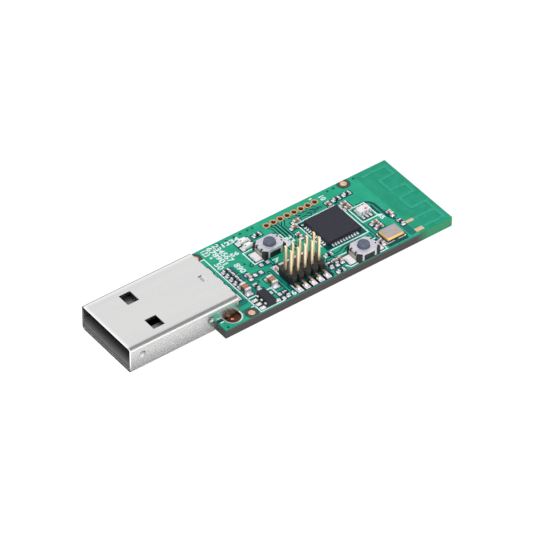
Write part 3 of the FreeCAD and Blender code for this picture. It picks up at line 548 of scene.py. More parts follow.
def addStrip(work, points, width, lift, closed=False):
    # flat ribbon with mitred corners through points on the board
    count = len(points)
    rails = []
    for index, (x, y) in enumerate(points):
        before = points[index - 1] if index or closed else None
        after = points[(index + 1) % count] if index < count - 1 or closed else None
        steps = [Vector((x, y)) - Vector(before)] if before else []
        steps += [Vector(after) - Vector((x, y))] if after else []
        sides = [Vector((-step.y, step.x)).normalized() for step in steps]
        side = sum(sides, Vector((0, 0))).normalized()
        reach = width / 2 / max(0.35, side.dot(sides[0]))
        end = Vector((0, 0))
        if not before:
            end = -steps[0].normalized() * width / 2
        if not after:
            end = steps[0].normalized() * width / 2
        middle = Vector((x, y)) + end
        rails.append([work.verts.new(onBoard(*(middle + side * reach * turn), lift)) for turn in (1, -1)])
    for index in range(count if closed else count - 1):
        left, right = rails[index]
        nextLeft, nextRight = rails[(index + 1) % count]
        work.faces.new((left, right, nextRight, nextLeft))


def addDisc(work, along, across, radius, lift, sides=24, inner=0.0):
    # flat disc, or a ring where there is an inner radius
    turns = [2 * math.pi * side / sides for side in range(sides)]
    outer = [work.verts.new(onBoard(along + radius * math.cos(t), across + radius * math.sin(t), lift)) for t in turns]
    if not inner:
        work.faces.new(outer)
        return
    hole = [work.verts.new(onBoard(along + inner * math.cos(t), across + inner * math.sin(t), lift)) for t in turns]
    for side in range(sides):
        after = (side + 1) % sides
        work.faces.new((outer[side], outer[after], hole[after], hole[side]))


def addPad(work, along, across, lift, corner=0.06):
    # flat pad with clipped corners between (low, high) limits along and across the board
    left, right = along
    low, high = across
    clip = min(corner, (right - left) / 3, (high - low) / 3)
    outline = [(left + clip, low), (right - clip, low), (right, low + clip), (right, high - clip),
               (right - clip, high), (left + clip, high), (left, high - clip), (left, low + clip)]
    work.faces.new([work.verts.new(onBoard(x, y, lift)) for x, y in outline])


def printedLayer(name, work, material, thick):
    # turns flat shapes into a thin layer that reaches down from their height
    for face in work.faces:
        face.normal_update()
        if face.normal.z < 0:
            face.normal_flip()
    # whatever reaches past the board's long edges is cut off there
    for corner, turn in ((boardLow, -1), (boardHigh, 1)):
        bmesh.ops.bisect_plane(work, geom=work.verts[:] + work.edges[:] + work.faces[:], plane_co=corner,
                               plane_no=(0, turn, 0), clear_outer=True)
    mesh = bpy.data.meshes.new(name)
    work.to_mesh(mesh)
    work.free()
    piece = newPiece(name, mesh, material, "stick")
    solid = piece.modifiers.new("thickness", "SOLIDIFY")
    solid.thickness = thick * mm
    solid.offset = -1
    return piece


def boardSpan(box):
    # (low, high) limits along and across the board of a box in the frame, in millimetres
    low, high = box
    along = ((low.x - boardFront) / mm, (high.x - boardFront) / mm)
    return along, (low.y / mm, high.y / mm)


# Plug

plugLook = {"shellEdge": 0.04, "plasticEdge": 0.06, "contactEdge": 0.03, "solderFrom": 4.4}

softened("plug_shell", plugLook["shellEdge"], platedSteel)
softened("plug_insulator", plugLook["plasticEdge"], plugPlastic)


def solderFoot(piece, start):
    # the contact's foot is wetted with solder from a place along the board onward
    piece.data.materials.append(solder)
    work = bmesh.new()
    work.from_mesh(piece.data)
    edgeX = boardFront + start * mm
    bmesh.ops.bisect_plane(work, geom=work.verts[:] + work.edges[:] + work.faces[:], plane_co=(edgeX, 0, 0),
                           plane_no=(1, 0, 0))
    for face in work.faces:
        if face.calc_center_median().x > edgeX:
            face.material_index = 1
    work.to_mesh(piece.data)
    work.free()


for number in range(1, 5):
    contact = softened("plug_contact_%d" % number, plugLook["contactEdge"], contactGold)
    solderFoot(contact, plugLook["solderFrom"])
print("plug dressed")


# Board, its holes and the printed antenna

def paint(nodeName, material):
    mesh = nodes[nodeName].data
    mesh.materials.clear()
    mesh.materials.append(material)


paint("circuit_board", boardSurface)
paint("antenna_track", antennaCopper)
paint("antenna_pads", padGold)
paint("shield_hole_plating", tinnedHole)

eyeletLook = {"hole": 0.36, "ring": 0.6, "edge": 0.03, "sides": 48}


def ioEyelets():
    # smooth turned eyelets over the plated holes
    work = bmesh.new()
    edge = eyeletLook["edge"] * mm
    for low, high in solidBoxes("io_hole_plating"):
        centre = (low + high) / 2
        ring = eyeletLook["ring"] * mm
        hole = eyeletLook["hole"] * mm
        profile = [(ring, boardTop), (ring, high.z - edge), (ring - edge, high.z), (hole + edge, high.z),
                   (hole, high.z - edge), (hole, low.z), (ring, low.z)]
        loops = []
        for radius, height in profile:
            turns = [2 * math.pi * side / eyeletLook["sides"] for side in range(eyeletLook["sides"])]
            loops.append([work.verts.new((centre.x + radius * math.cos(t), centre.y + radius * math.sin(t), height))
                          for t in turns])
        for inner, outer in zip(loops, loops[1:]):
            for side in range(eyeletLook["sides"]):
                after = (side + 1) % eyeletLook["sides"]
                work.faces.new((inner[side], inner[after], outer[after], outer[side]))
    piece = newPiece("ioEyelets", toMesh("ioEyelets", work, smooth=True), goldHole, "stick")
    piece.data.set_sharp_from_angle(angle=math.radians(50))
    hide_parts("io_hole_plating")


ioEyelets()
print("board dressed")


# Chips and small parts

softened("radio_chip_package", 0.04, chipEpoxy)
softened("radio_chip_lands", 0.02, tinPlate)
softened("balun_body", 0.05, balunCeramic)
softened("balun_terminals", 0.02, tinPlate)

inkDotLook = {"length": 0.55, "width": 0.36, "along": 0.3, "across": -0.22}   # mm, from the balun's middle


def balunDot():
    low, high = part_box("balun_body")
    middle = (low + high) / 2
    work = bmesh.new()
    bmesh.ops.create_circle(work, cap_ends=True, segments=32, radius=0.5 * mm)
    bmesh.ops.scale(work, vec=(inkDotLook["length"], inkDotLook["width"], 1), verts=work.verts)
    spot = Vector((middle.x + inkDotLook["along"] * mm, middle.y + inkDotLook["across"] * mm, high.z + 0.012 * mm))
    bmesh.ops.translate(work, vec=spot, verts=work.verts)
    printedLayer("balunDot", work, redInk, 0.02)


balunDot()


def snapDome(name):
    piece = softened(name + "_dome", 0.01, domeSteel)
    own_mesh(piece)


softened("regulator_body", 0.04, chipEpoxy)
softened("regulator_leads", 0.04, leadTin)
softened("crystal_base", 0.03, caseCeramic)
softened("crystal_seal_ring", 0.08, sealGold)
softened("crystal_lid", 0.03, lidNickel)
softened("header_insulator", 0.05, headerPlastic)
for number in range(1, 11):
    softened("header_pin_%d" % number, 0.04, pinGold)
for number in (1, 2):
    name = "button_%d" % number
    softened(name + "_housing", 0.04, buttonNylon)
    softened(name + "_cover", 0.03, coverSteel)
    softened(name + "_plunger", 0.04, plungerNylon, body=name)
    softened(name + "_terminals", 0.04, tabTin)
    snapDome(name)
    lamp = "lamp_%d" % number
    softened(lamp + "_base", 0.02, lampLaminate)
    softened(lamp + "_lens", 0.06, lampResin)
    softened(lamp + "_terminals", 0.02, tinPlate)
    capacitor = "large_capacitor_%d" % number
    softened(capacitor + "_body", 0.05, capacitorCeramics["brick"])
    softened(capacitor + "_ends", 0.05, tinPlate)
softened("small_capacitor_ends", 0.04, tinPlate)
softened("resistor_bodies", 0.03, resistorGlaze)
softened("resistor_ends", 0.03, tinPlate)

dieLook = {"radius": 0.12, "fromEnd": 0.14, "fromMiddle": -0.12}   # mm, as seen through the lens


def lampDie(number, material):
    low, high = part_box("lamp_%d_lens" % number)
    (start, _), (near, far) = boardSpan((low, high))
    work = bmesh.new()
    addDisc(work, start + dieLook["fromEnd"], (near + far) / 2 + dieLook["fromMiddle"], dieLook["radius"],
            (high.z - boardTop) / mm + 0.01)
    printedLayer("lampDie%d" % number, work, material, 0.02)


lampDie(1, redDie)
lampDie(2, greenDie)

# small capacitors that aren't tan, by their place in millimetres from the board's front edge and centre line
oddShades = {(9.45, -1.0): "pink", (31.45, -3.4): "mauve", (34.65, -2.05): "peach", (29.65, -6.4): "mauve",
             (21.45, -5.95): "mauve"}


def shadeCapacitors():
    piece = softened("small_capacitor_bodies", 0.04, None)
    shades = list(capacitorCeramics)
    for shade in shades:
        piece.data.materials.append(capacitorCeramics[shade])
    for face in piece.data.polygons:
        shade = "tan"
        for spot, odd in oddShades.items():
            if (face.center - onBoard(*spot)).xy.length < 0.6 * mm:
                shade = odd
        face.material_index = shades.index(shade)


shadeCapacitors()
print("parts dressed")


# Pads and solder

padLook = {"lift": 0.03, "thick": 0.03, "gap": 0.22}
padWork = bmesh.new()
gapWork = bmesh.new()
landWork = bmesh.new()
solderWork = bmesh.new()


def addSoldering(foot, reach, side, grow=0.08, height=None, spread=1.0):
    # pad that shows past a terminal's foot, and the solder that climbs the terminal's end face.
    # side is the axis and direction that the foot points in: (0 or 1, -1 or 1)
    axis, turn = side
    spans = [list(span) for span in boardSpan(foot)]
    cross = 1 - axis
    edge = spans[axis][0 if turn < 0 else 1]
    far = edge + turn * reach
    pad = [None, None]
    pad[axis] = sorted((spans[axis][1 if turn < 0 else 0], far))
    pad[cross] = [spans[cross][0] - grow, spans[cross][1] + grow]
    addPad(padWork, pad[0], pad[1], padLook["lift"])
    gap = padLook["gap"]
    addPad(gapWork, (pad[0][0] - gap, pad[0][1] + gap), (pad[1][0] - gap, pad[1][1] + gap), 0.004, corner=0.15)
    climb = ((foot[1].z - boardTop) / mm if height is None else height)
    middle = sum(spans[cross]) / 2
    half = (spans[cross][1] - spans[cross][0]) / 2 * spread
    rows = 5
    grid = []
    for row in range(rows + 1):
        way = row / rows
        out = edge + turn * (reach * 0.9 * way - 0.02)
        rise = padLook["lift"] + (climb - padLook["lift"]) * (1 - way) ** 2
        wide = half * (1 + 0.1 * way) if way < 0.7 else half * (1.07 - 0.5 * (way - 0.7))
        line = []
        for share, level in ((-1, 0), (-0.86, 0.72), (0, 1), (0.86, 0.72), (1, 0)):
            spot = [0, 0]
            spot[axis] = out
            spot[cross] = middle + share * wide
            line.append(solderWork.verts.new(onBoard(spot[0], spot[1], rise * level)))
        grid.append(line)
    for row in range(rows):
        for column in range(4):
            solderWork.faces.new((grid[row][column], grid[row][column + 1],
                                  grid[row + 1][column + 1], grid[row + 1][column]))


def solderChipEnds(nodeName, reach, climbShare):
    # end caps come in pairs: each points away from the nearest cap of the same part
    boxes = solidBoxes(nodeName)
    for low, high in boxes:
        centre = (low + high) / 2
        others = [((a + b) / 2 - centre) for a, b in boxes]
        partner = min((step for step in others if step.length > 1e-5), key=lambda step: step.length)
        size = high - low
        axis = 0 if size.x < size.y else 1
        turn = -1 if partner[axis] > 0 else 1
        height = (high.z - boardTop) / mm * climbShare
        addSoldering((low, high), reach, (axis, turn), height=height)


solderChipEnds("small_capacitor_ends", 0.3, 0.7)
solderChipEnds("resistor_ends", 0.28, 0.8)
for number in (1, 2):
    solderChipEnds("large_capacitor_%d_ends" % number, 0.5, 0.6)
    solderChipEnds("lamp_%d_terminals" % number, 0.4, 0.7)
print("small parts soldered")

chipLow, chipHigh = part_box("radio_chip_package")
for low, high in solidBoxes("radio_chip_lands"):
    size = high - low
    if size.x > 2 * mm:
        continue
    centre = (low + high) / 2
    axis = 0 if size.x > size.y else 1
    turn = 1 if centre[axis] > (chipLow + chipHigh)[axis] / 2 else -1
    along, across = boardSpan((low, high))
    spans = [list(along), list(across)]
    spans[axis][1 if turn > 0 else 0] += 0.38 * turn
    spans[1 - axis] = [spans[1 - axis][0] - 0.01, spans[1 - axis][1] + 0.01]
    addPad(landWork, spans[0], spans[1], 0.06, corner=0.03)

along, across = boardSpan((chipLow, chipHigh))
addPad(gapWork, (along[0] - 0.6, along[1] + 0.6), (across[0] - 0.6, across[1] + 0.6), 0.004)

balunLow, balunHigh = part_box("balun_body")
for low, high in solidBoxes("balun_terminals"):
    turn = 1 if (low + high).y > (balunLow + balunHigh).y else -1
    addSoldering((low, high), 0.6, (1, turn), grow=0.02, height=0.12)

regulatorLow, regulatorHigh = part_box("regulator_body")
for low, high in solidBoxes("regulator_leads"):
    turn = 1 if (low + high).x > (regulatorLow + regulatorHigh).x else -1
    edge = high.x if turn > 0 else low.x
    foot = (Vector((edge - 0.45 * mm * turn, low.y, low.z)), Vector((edge, high.y, boardTop + 0.15 * mm)))
    foot = (Vector(map(min, *foot)), Vector(map(max, *foot)))
    addSoldering(foot, 0.4, (0, turn), grow=0.12, height=0.16)

headerLow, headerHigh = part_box("header_insulator")
# a dark area round the header's feet, partly a gap in the copper and partly painted shade
addPad(gapWork, (12.95, 19.9), (-7.9, -5.3), 0.004)
for number in range(1, 11):
    low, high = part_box("header_pin_%d" % number)
    turn = 1 if (low + high).y > (headerLow + headerHigh).y else -1
    edge = high.y if turn > 0 else low.y
    foot = [Vector((low.x, edge, low.z)), Vector((high.x, edge - 0.5 * mm * turn, boardTop + 0.4 * mm))]
    foot = (Vector(map(min, *foot)), Vector(map(max, *foot)))
    addSoldering(foot, 0.68, (1, turn), grow=0.25, height=0.34, spread=1.7)

for number in (1, 2):
    for low, high in solidBoxes("button_%d_terminals" % number):
        housingLow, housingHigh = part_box("button_%d_housing" % number)
        turn = 1 if (low + high).x > (housingLow + housingHigh).x else -1
        addSoldering((low, Vector((high.x, high.y, boardTop + 0.15 * mm))), 0.3, (0, turn), grow=0.15, height=0.14)

for number in range(1, 5):
    along, across = boardSpan(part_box("plug_contact_%d" % number))
    addPad(padWork, (along[1] - 1.6, along[1] + 0.14), (across[0] - 0.15, across[1] + 0.15), padLook["lift"])
    addPad(gapWork, (along[1] - 1.8, along[1] + 0.34), (across[0] - 0.4, across[1] + 0.4), 0.004, corner=0.15)

crystalLow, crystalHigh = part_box("crystal_base")
crystalPad = {"along": 1.5, "across": 1.15, "past": 0.16}
(left, right), (near, far) = boardSpan((crystalLow, crystalHigh))
for a, b in ((left - crystalPad["past"], left - crystalPad["past"] + crystalPad["along"]),
             (right + crystalPad["past"] - crystalPad["along"], right + crystalPad["past"])):
    for c, d in ((near - crystalPad["past"], near - crystalPad["past"] + crystalPad["across"]),
                 (far + crystalPad["past"] - crystalPad["across"], far + crystalPad["past"])):
        addPad(padWork, (a, b), (c, d), padLook["lift"])
        addPad(gapWork, (a - 0.2, b + 0.2), (c - 0.2, d + 0.2), 0.004, corner=0.15)

# pads whose parts aren't fitted, in millimetres from the board's front edge and centre line
barePads = [(10.5, -1.1), (11.55, -1.1), (12.55, 0.15), (13.65, 0.15), (10.85, -6.5), (10.9, -7.55)]
for along, across in barePads:
    addPad(padWork, (along - 0.28, along + 0.28), (across - 0.32, across + 0.32), padLook["lift"])
    addPad(gapWork, (along - 0.5, along + 0.5), (across - 0.52, across + 0.52), 0.004, corner=0.15)

printedLayer("solderPads", padWork, solder, padLook["thick"])
printedLayer("chipSolder", landWork, litLandSolder, 0.05)
newPiece("solderFillets", toMesh("solderFillets", solderWork, smooth=True), solder, "stick")
print("pads and solder made")


# Tracks and gaps in the copper under the mask, in millimetres from the board's front edge and centre line

trackLook = {"width": 0.22, "gap": 0.2, "lift": 0.012, "thick": 0.012}
tracks = [
    [(18.4, 6.0), (18.75, 5.6), (18.75, 2.3), (18.2, 1.7), (18.2, 0.0)],
    [(19.1, 6.0), (19.25, 5.8), (19.25, 2.1), (18.8, 1.5), (18.8, 0.0)],
    [(19.8, 6.0), (19.8, 2.2), (19.4, 1.6), (19.4, 0.2)],
    [(20.9, 6.0), (20.3, 5.2), (20.3, 2.6), (20.0, 2.2)],
    [(22.2, 6.0), (22.9, 5.3), (24.6, 5.3), (25.0, 4.9)],
    [(23.5, 6.0), (24.0, 5.6), (25.4, 5.6), (25.9, 5.1)],
    [(24.8, 6.0), (26.2, 5.9), (26.6, 5.5)],
    [(22.0, -4.4), (23.6, -4.4), (24.8, -3.9), (27.6, -3.9)],
    [(22.3, -4.75), (23.3, -4.75), (24.3, -4.3)],
    [(29.75, 4.4), (29.75, -4.6), (29.3, -5.1)],
    [(6.2, -2.2), (6.9, -2.2)],
    [(8.3, -1.9), (9.0, -2.4), (9.9, -2.4)],
    [(12.5, -1.8), (12.5, -6.9), (12.1, -7.3)],
    [(8.4, 0.5), (9.1, 0.5), (9.6, 0.0)],
    [(11.3, 0.9), (12.3, 1.6), (12.3, 2.4)],
    [(14.1, -0.6), (14.1, 0.6), (14.6, 1.1)],
    [(19.5, -4.9), (20.3, -4.9), (20.9, -4.3), (21.6, -4.3)],
]
for track in tracks:
    addStrip(gapWork, track, trackLook["width"] + 2 * trackLook["gap"], 0.006)
trackWork = bmesh.new()
for track in tracks:
    addStrip(trackWork, track, trackLook["width"], trackLook["lift"])

# darker areas where a lower copper layer shows through: limits along and across the board
thinAreas = [((34.1, 35.3), (-7.7, -5.4)), ((3.95, 6.3), (-5.3, -4.2)), ((3.95, 6.3), (-6.6, -6.1)),
             ((7.6, 9.0), (-1.3, 2.5)), ((8.2, 9.8), (-4.6, -2.9)), ((10.0, 12.2), (-2.0, -1.6)),
             ((12.8, 14.2), (-0.6, 1.2)), ((10.9, 12.9), (-7.7, -5.8)), ((20.4, 22.0), (-7.6, -4.9)),
             ((22.8, 24.4), (-7.4, -5.4)), ((30.2, 33.2), (-7.85, -7.5)), ((9.6, 10.6), (6.9, 7.9)),
             ((24.6, 27.6), (5.0, 5.6)), ((12.9, 13.4), (-6.0, -1.6))]
# wide dark paths round the balun's feed to the antenna
feedGaps = [
    [(31.9, 2.4), (33.2, 2.25), (33.75, 1.8), (34.05, 1.1), (34.05, -2.2), (34.4, -3.2)],
    [(33.35, 1.0), (33.35, -0.9)],
    [(30.2, -6.6), (30.2, -7.6), (33.4, -7.6)],
]
for path in feedGaps:
    addStrip(gapWork, path, 0.45, 0.008)
thinWork = bmesh.new()
for along, across in thinAreas:
    addPad(thinWork, along, across, 0.002, corner=0.3)
addPad(gapWork, (0.0, 1.3), (-6.32, -6.02), 0.008)   # painted shadow: a dark strip along the foot of the plug's wall
printedLayer("thinAreas", thinWork, thinCopper, 0.001)
printedLayer("copperGaps", gapWork, maskedGap, 0.003)
printedLayer("maskedTracks", trackWork, maskedCopper, trackLook["thick"])
print("tracks made")


# Fiducial marks and through holes for tracks

fiducialLook = {"spots": [(5.25, -7.3), (5.55, 6.95), (33.2, 7.45)], "gold": 0.52, "bare": 0.95, "dark": 1.08}
# solder and flux that fill the holes round the plug's legs, and a painted glint on it
legSolderLook = {"along": 2.55, "across": (-6.3, 6.3), "radius": 1.28, "depth": 0.35,
                 "paintedGlint": (2.43, -6.42), "paintedGlintRadius": 0.22}
viaLook = {"spots": [(14.15, 7.5), (15.45, 7.5), (16.35, 7.5), (30.25, 7.5), (31.35, 7.5), (35.1, 7.5),
                     (10.65, 1.75), (11.55, 7.5), (12.95, 7.45), (9.8, -4.0), (13.0, -5.9), (21.0, -1.2), (32.6, 6.7),
                     (0.7, -7.75)],
           "ring": 0.2, "hole": 0.1}
goldWork = bmesh.new()
bareWork = bmesh.new()
darkWork = bmesh.new()
for along, across in fiducialLook["spots"]:
    addDisc(goldWork, along, across, fiducialLook["gold"], 0.035, sides=40)
    addDisc(bareWork, along, across, fiducialLook["bare"], 0.014, sides=40, inner=fiducialLook["gold"] - 0.05)
    addDisc(darkWork, along, across, fiducialLook["dark"], 0.01, sides=40, inner=fiducialLook["bare"] - 0.1)
fluxWork = bmesh.new()
paintedGlintWork = bmesh.new()
for across in legSolderLook["across"]:
    addDisc(fluxWork, legSolderLook["along"], across, legSolderLook["radius"], -legSolderLook["depth"], sides=40)
addDisc(paintedGlintWork, *legSolderLook["paintedGlint"], legSolderLook["paintedGlintRadius"], 0.02 - legSolderLook["depth"])
printedLayer("legSolder", fluxWork, fluxedShadedSolder, 0.4)
printedLayer("legSolderPaintedGlint", paintedGlintWork, paintedFluxGlint, 0.03)
holeWork = bmesh.new()
for along, across in viaLook["spots"]:
    addDisc(darkWork, along, across, viaLook["ring"], 0.016, inner=viaLook["hole"])
    addDisc(holeWork, along, across, viaLook["hole"] + 0.02, 0.014)
for work in (bareWork, darkWork):
    bmesh.ops.bisect_plane(work, geom=work.verts[:] + work.edges[:] + work.faces[:], plane_no=(0, 1, 0),
                           plane_co=(0, boardHigh.y - 0.06 * mm, 0), clear_outer=True)
printedLayer("fiducialGold", goldWork, padGold, 0.03)
printedLayer("fiducialBare", bareWork, bareLaminate, 0.01)
printedLayer("fiducialRims", darkWork, maskedGap, 0.008)
printedLayer("viaHoles", holeWork, holeShade, 0.01)
print("marks made")


# Screen-printed lines and plain numbers

inkLook = {"width": 0.19, "lift": 0.03, "thick": 0.02}
inkLines = [
    [(5.95, 6.05), (6.5, 6.05), (6.5, -7.95), (10.75, -7.95)],
    [(5.95, -6.35), (6.45, -6.35)],
    [(6.55, -4.7), (8.1, -4.7)],
    [(10.05, -4.65), (10.7, -4.65), (10.7, -5.95)],
    [(13.35, -1.15), (13.35, -3.65)],
    [(13.35, -5.25), (13.35, -7.9)],
    [(13.45, 3.75), (11.85, 3.75), (11.85, 0.8), (13.55, 0.8)],
    [(18.2, 3.85), (18.75, 3.85), (18.75, 1.15)],
    [(22.85, -5.0), (24.25, -5.0)],
    [(22.4, -7.3), (22.85, -7.9), (24.2, -7.9)],
    [(27.9, -7.9), (29.5, -7.9), (29.5, -7.25)],
    [(28.95, -5.0), (29.5, -5.0)],
    [(22.05, 4.35), (22.05, -1.9)],
    [(22.05, 4.35), (29.0, 4.35)],
    [(22.6, -3.35), (29.55, -3.35), (29.55, 3.6)],
]
inkLoops = [
    [(30.15, -1.2), (33.0, -1.2), (33.0, 2.25), (30.15, 2.25)],
]
inkWork = bmesh.new()
for line in inkLines:
    addStrip(inkWork, line, inkLook["width"], inkLook["lift"])
for loop in inkLoops:
    addStrip(inkWork, loop, inkLook["width"], inkLook["lift"], closed=True)
addDisc(inkWork, 22.65, 3.6, 0.16, inkLook["lift"], sides=20)
# painted highlight: a pale patch on the board beside the plug's near wall
addPad(inkWork, (0.3, 0.95), (-6.52, -6.34), inkLook["lift"])
printedLayer("inkLines", inkWork, whiteInk, inkLook["thick"])

# plain numbers where the board has print: text, place of its start, height, length and whether it runs across
numbers = [
    ("123", (6.95, 7.8), 1.0, 1.5, True),
    ("4", (7.3, 5.9), 0.5, 0.4, True),
    ("50", (6.95, 4.3), 1.0, 1.5, True),
    ("678901", (8.05, 7.8), 0.9, 4.5, True),
    ("234567", (9.1, 7.8), 1.0, 4.5, True),
    ("890", (9.2, 2.55), 0.95, 2.2, True),
    ("1234", (10.15, 6.5), 0.8, 3.3, False),
    ("56", (10.1, 4.0), 0.75, 1.4, False),
    ("7", (14.4, -0.65), 0.75, 1.3, False),
    ("23", (18.95, 3.0), 0.9, 1.6, True),
    ("10", (28.3, 7.4), 0.9, 1.2, True),
    ("45", (32.9, -1.0), 0.75, 1.3, True),
    ("6", (12.35, -7.85), 0.9, 0.7, False),
    ("1", (26.9, 7.85), 0.45, 0.4, True),
]


def printNumbers():
    work = bmesh.new()
    for text, (along, across), height, length, turned in numbers:
        curve = bpy.data.curves.new("number", "FONT")
        curve.body = text
        curve.size = height * 1.4 * mm
        curve.offset = 0.045 * mm
        curve.resolution_u = 3
        holder = bpy.data.objects.new("number", curve)
        bpy.context.scene.collection.objects.link(holder)
        bpy.context.view_layer.update()
        mesh = bpy.data.meshes.new_from_object(holder)
        reach = max(vert.co.x for vert in mesh.vertices)
        narrow = Matrix.Scale(length * mm / reach, 4, (1, 0, 0))
        turning = Matrix.Rotation(-math.pi / 2 if turned else 0, 4, "Z")
        mesh.transform(Matrix.Translation(onBoard(along, across, inkLook["lift"])) @ turning @ narrow)
        work.from_mesh(mesh)
        bpy.data.objects.remove(holder)
        bpy.data.meshes.remove(mesh)
    printedLayer("inkNumbers", work, whiteInk, inkLook["thick"])


printNumbers()
print("ink printed")


# Camera, lights and floor

cameraLook = {"aim": (-0.206, -0.528, 1.572), "azimuth": -37.14, "elevation": 41.66, "roll": 0.41,
              "distance": 644.3, "lens": 299.4}
azimuth = math.radians(cameraLook["azimuth"])
elevation = math.radians(cameraLook["elevation"])
roll = math.radians(cameraLook["roll"])
back = Vector((math.sin(azimuth) * math.cos(elevation), -math.cos(azimuth) * math.cos(elevation),
               math.sin(elevation)))
flatRight = Vector((math.cos(azimuth), math.sin(azimuth), 0))
flatUp = back.cross(flatRight)
right = flatRight * math.cos(roll) + flatUp * math.sin(roll)
up = flatUp * math.cos(roll) - flatRight * math.sin(roll)
camera = bpy.data.objects.new("camera", bpy.data.cameras.new("camera"))
bpy.context.scene.collection.objects.link(camera)
turn = Matrix((right, up, back)).transposed().to_4x4()
aim = Vector(cameraLook["aim"]) * mm
camera.matrix_world = Matrix.Translation(aim + back * cameraLook["distance"] * mm) @ turn
camera.data.lens = cameraLook["lens"]
camera.data.sensor_width = 36
camera.data.clip_start = 0.01
camera.data.clip_end = 10
bpy.context.scene.camera = camera

# soft lamps: where each stands from the stick, its size, its power and whether polished faces mirror it
lampLook = {
    "topPanel": {"stand": (-0.12, -0.18, 0.42), "size": 0.2, "power": 1.15, "mirrored": True},
    "keyPanel": {"stand": (0.14, -0.27, 0.09), "size": 0.16, "power": 0.16, "mirrored": False},
    "sidePanel": {"stand": (-0.25, 0.22, 0.17), "size": 0.16, "power": 0.06, "mirrored": True},
}
for name, look in lampLook.items():
    light = bpy.data.objects.new(name, bpy.data.lights.new(name, "AREA"))
    bpy.context.scene.collection.objects.link(light)
    light.data.size = look["size"]
    light.data.energy = look["power"]
    light.visible_glossy = look["mirrored"]
    stand = Vector(look["stand"])
    light.matrix_world = Matrix.Translation(stand) @ stand.to_track_quat("Z", "Y").to_matrix().to_4x4()

skyLook = {"low": 1.08, "high": 0.84, "turn": (0.25, 0.62),      # brightness by height of a direction
           "card": (0.45, -0.35, 0.82), "reach": (0.66, 0.85), "shade": 0.25,    # dark card over the plug's near fold
           "ahead": (-0.85, 0.15), "aheadTone": 0.5}                       # dimmer beyond the plug's mouth


def makeSky():
    # pale studio air, brighter low down, with a dark card above that draws the plug's folded edge
    world = bpy.data.worlds.new("studio")
    bpy.context.scene.world = world
    world.use_nodes = True
    tree = world.node_tree
    direction = addNode(tree, "ShaderNodeTexCoord").outputs["Generated"]
    height = addNode(tree, "ShaderNodeSeparateXYZ", {}, {0: direction}).outputs[2]
    low, high = skyLook["turn"]
    air = addNode(tree, "ShaderNodeMapRange", {1: low, 2: high, 3: skyLook["low"], 4: skyLook["high"]},
                  {0: height}).outputs[0]
    nearness = addNode(tree, "ShaderNodeVectorMath", {"operation": "DOT_PRODUCT", 1: skyLook["card"]},
                       {0: direction}).outputs["Value"]
    low, high = skyLook["reach"]
    card = addNode(tree, "ShaderNodeMapRange", {"interpolation_type": "SMOOTHSTEP", 1: low, 2: high,
                                                3: 1, 4: skyLook["shade"]}, {0: nearness}).outputs[0]
    tone = addNode(tree, "ShaderNodeMath", {"operation": "MULTIPLY"}, {0: air, 1: card}).outputs[0]
    low, high = skyLook["ahead"]
    ahead = addNode(tree, "ShaderNodeSeparateXYZ", {}, {0: direction}).outputs[0]
    ahead = addNode(tree, "ShaderNodeMapRange", {1: low, 2: high, 3: skyLook["aheadTone"]}, {0: ahead}).outputs[0]
    tone = addNode(tree, "ShaderNodeMath", {"operation": "MULTIPLY"}, {0: tone, 1: ahead}).outputs[0]
    path = addNode(tree, "ShaderNodeLightPath")
    tone = addNode(tree, "ShaderNodeMix", {"data_type": "RGBA", 7: (1, 1, 1, 1)},
                   {0: path.outputs["Is Camera Ray"], 6: tone}).outputs[2]
    tree.links.new(tone, tree.nodes["Background"].inputs["Color"])


# painted shade: how bright the floor beside the stick looks in reflections, by millimetres across from its middle; and
# a painted glow ahead of the mouth that its cut edges mirror
floorLook = {"paintedShadeBeside": {-60: 0.95, -13: 0.95, -9.6: 0.74, -7.8: 0.53, -6.4: 0.36, -6: 0.33, 6: 0.35,
                        30: 0.4, 60: 0.9}, "ahead": (-29.5, -28.6), "open": 1.2}


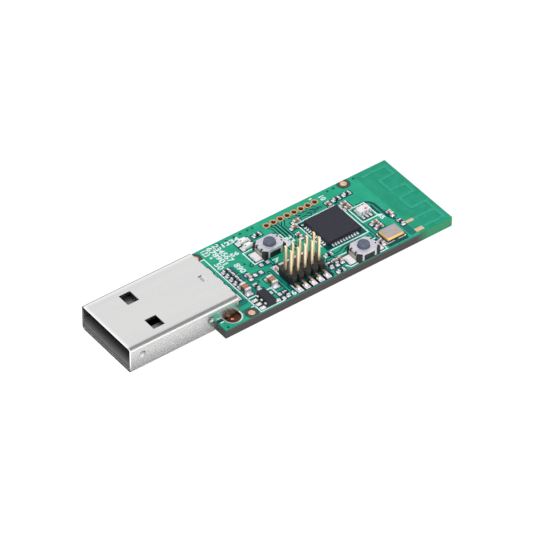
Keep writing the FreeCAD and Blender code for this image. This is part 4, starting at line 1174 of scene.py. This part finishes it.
def makeFloor():
    # white sweep: it shows as white, still takes the stick's shadow, and carries painted shade where the stick mirrors
    # it, with a painted glow ahead of the mouth
    mesh = bpy.data.meshes.new("floor")
    half = 1.5
    mesh.from_pydata([(-half, -half, 0), (half, -half, 0), (half, half, 0), (-half, half, 0)], [], [(0, 1, 2, 3)])
    floor = bpy.data.objects.new("floor", mesh)
    bpy.context.scene.collection.objects.link(floor)
    floor.location.z = solidBox[0].z - 0.02 * mm
    material, tree, shader = startMaterial("whiteSweep", {"Base Color": toLinear("#E6E6E6"), "Roughness": 0.9})
    place = addNode(tree, "ShaderNodeTexCoord").outputs["Object"]
    axes = addNode(tree, "ShaderNodeSeparateXYZ", {}, {0: place})
    across = addNode(tree, "ShaderNodeMapRange", {1: -60 * mm, 2: 60 * mm}, {0: axes.outputs[1]}).outputs[0]
    ramp = addNode(tree, "ShaderNodeValToRGB", {}, {0: across})
    setStops(ramp, {(spot + 60) / 120: brightness for spot, brightness in floorLook["paintedShadeBeside"].items()})
    start, end = floorLook["ahead"]
    ahead = addNode(tree, "ShaderNodeMapRange", {1: start * mm, 2: end * mm, 3: 1, 4: 0}, {0: axes.outputs[0]})
    paintedShadeBeside = addNode(tree, "ShaderNodeBsdfDiffuse", {}, {"Color": ramp.outputs[0]})
    paintedGlowShader = addNode(tree, "ShaderNodeEmission", {"Strength": floorLook["open"]})
    mirrored = addNode(tree, "ShaderNodeMixShader", {}, {0: ahead.outputs[0], 1: paintedShadeBeside.outputs[0],
                                                         2: paintedGlowShader.outputs[0]})
    path = addNode(tree, "ShaderNodeLightPath")
    glow = addNode(tree, "ShaderNodeEmission", {"Color": (1, 1, 1, 1), "Strength": 0.86})
    dull = addNode(tree, "ShaderNodeBsdfDiffuse", {"Color": (0.22, 0.22, 0.22, 1)})
    lit = addNode(tree, "ShaderNodeAddShader", {}, {0: glow.outputs[0], 1: dull.outputs[0]})
    shown = addNode(tree, "ShaderNodeMath", {"operation": "MAXIMUM"},
                    {0: path.outputs["Is Camera Ray"], 1: path.outputs["Is Transmission Ray"]}).outputs[0]
    mixed = addNode(tree, "ShaderNodeMixShader", {}, {0: path.outputs["Is Glossy Ray"],
                                                     1: shader.outputs[0], 2: mirrored.outputs[0]})
    mixed = addNode(tree, "ShaderNodeMixShader", {}, {0: shown, 1: mixed.outputs[0], 2: lit.outputs[0]})
    tree.links.new(mixed.outputs[0], tree.nodes["Material Output"].inputs["Surface"])
    mesh.materials.append(material)


makeSky()
makeFloor()
bpy.context.scene.view_settings.view_transform = "Standard"
print("camera, lights and floor set")
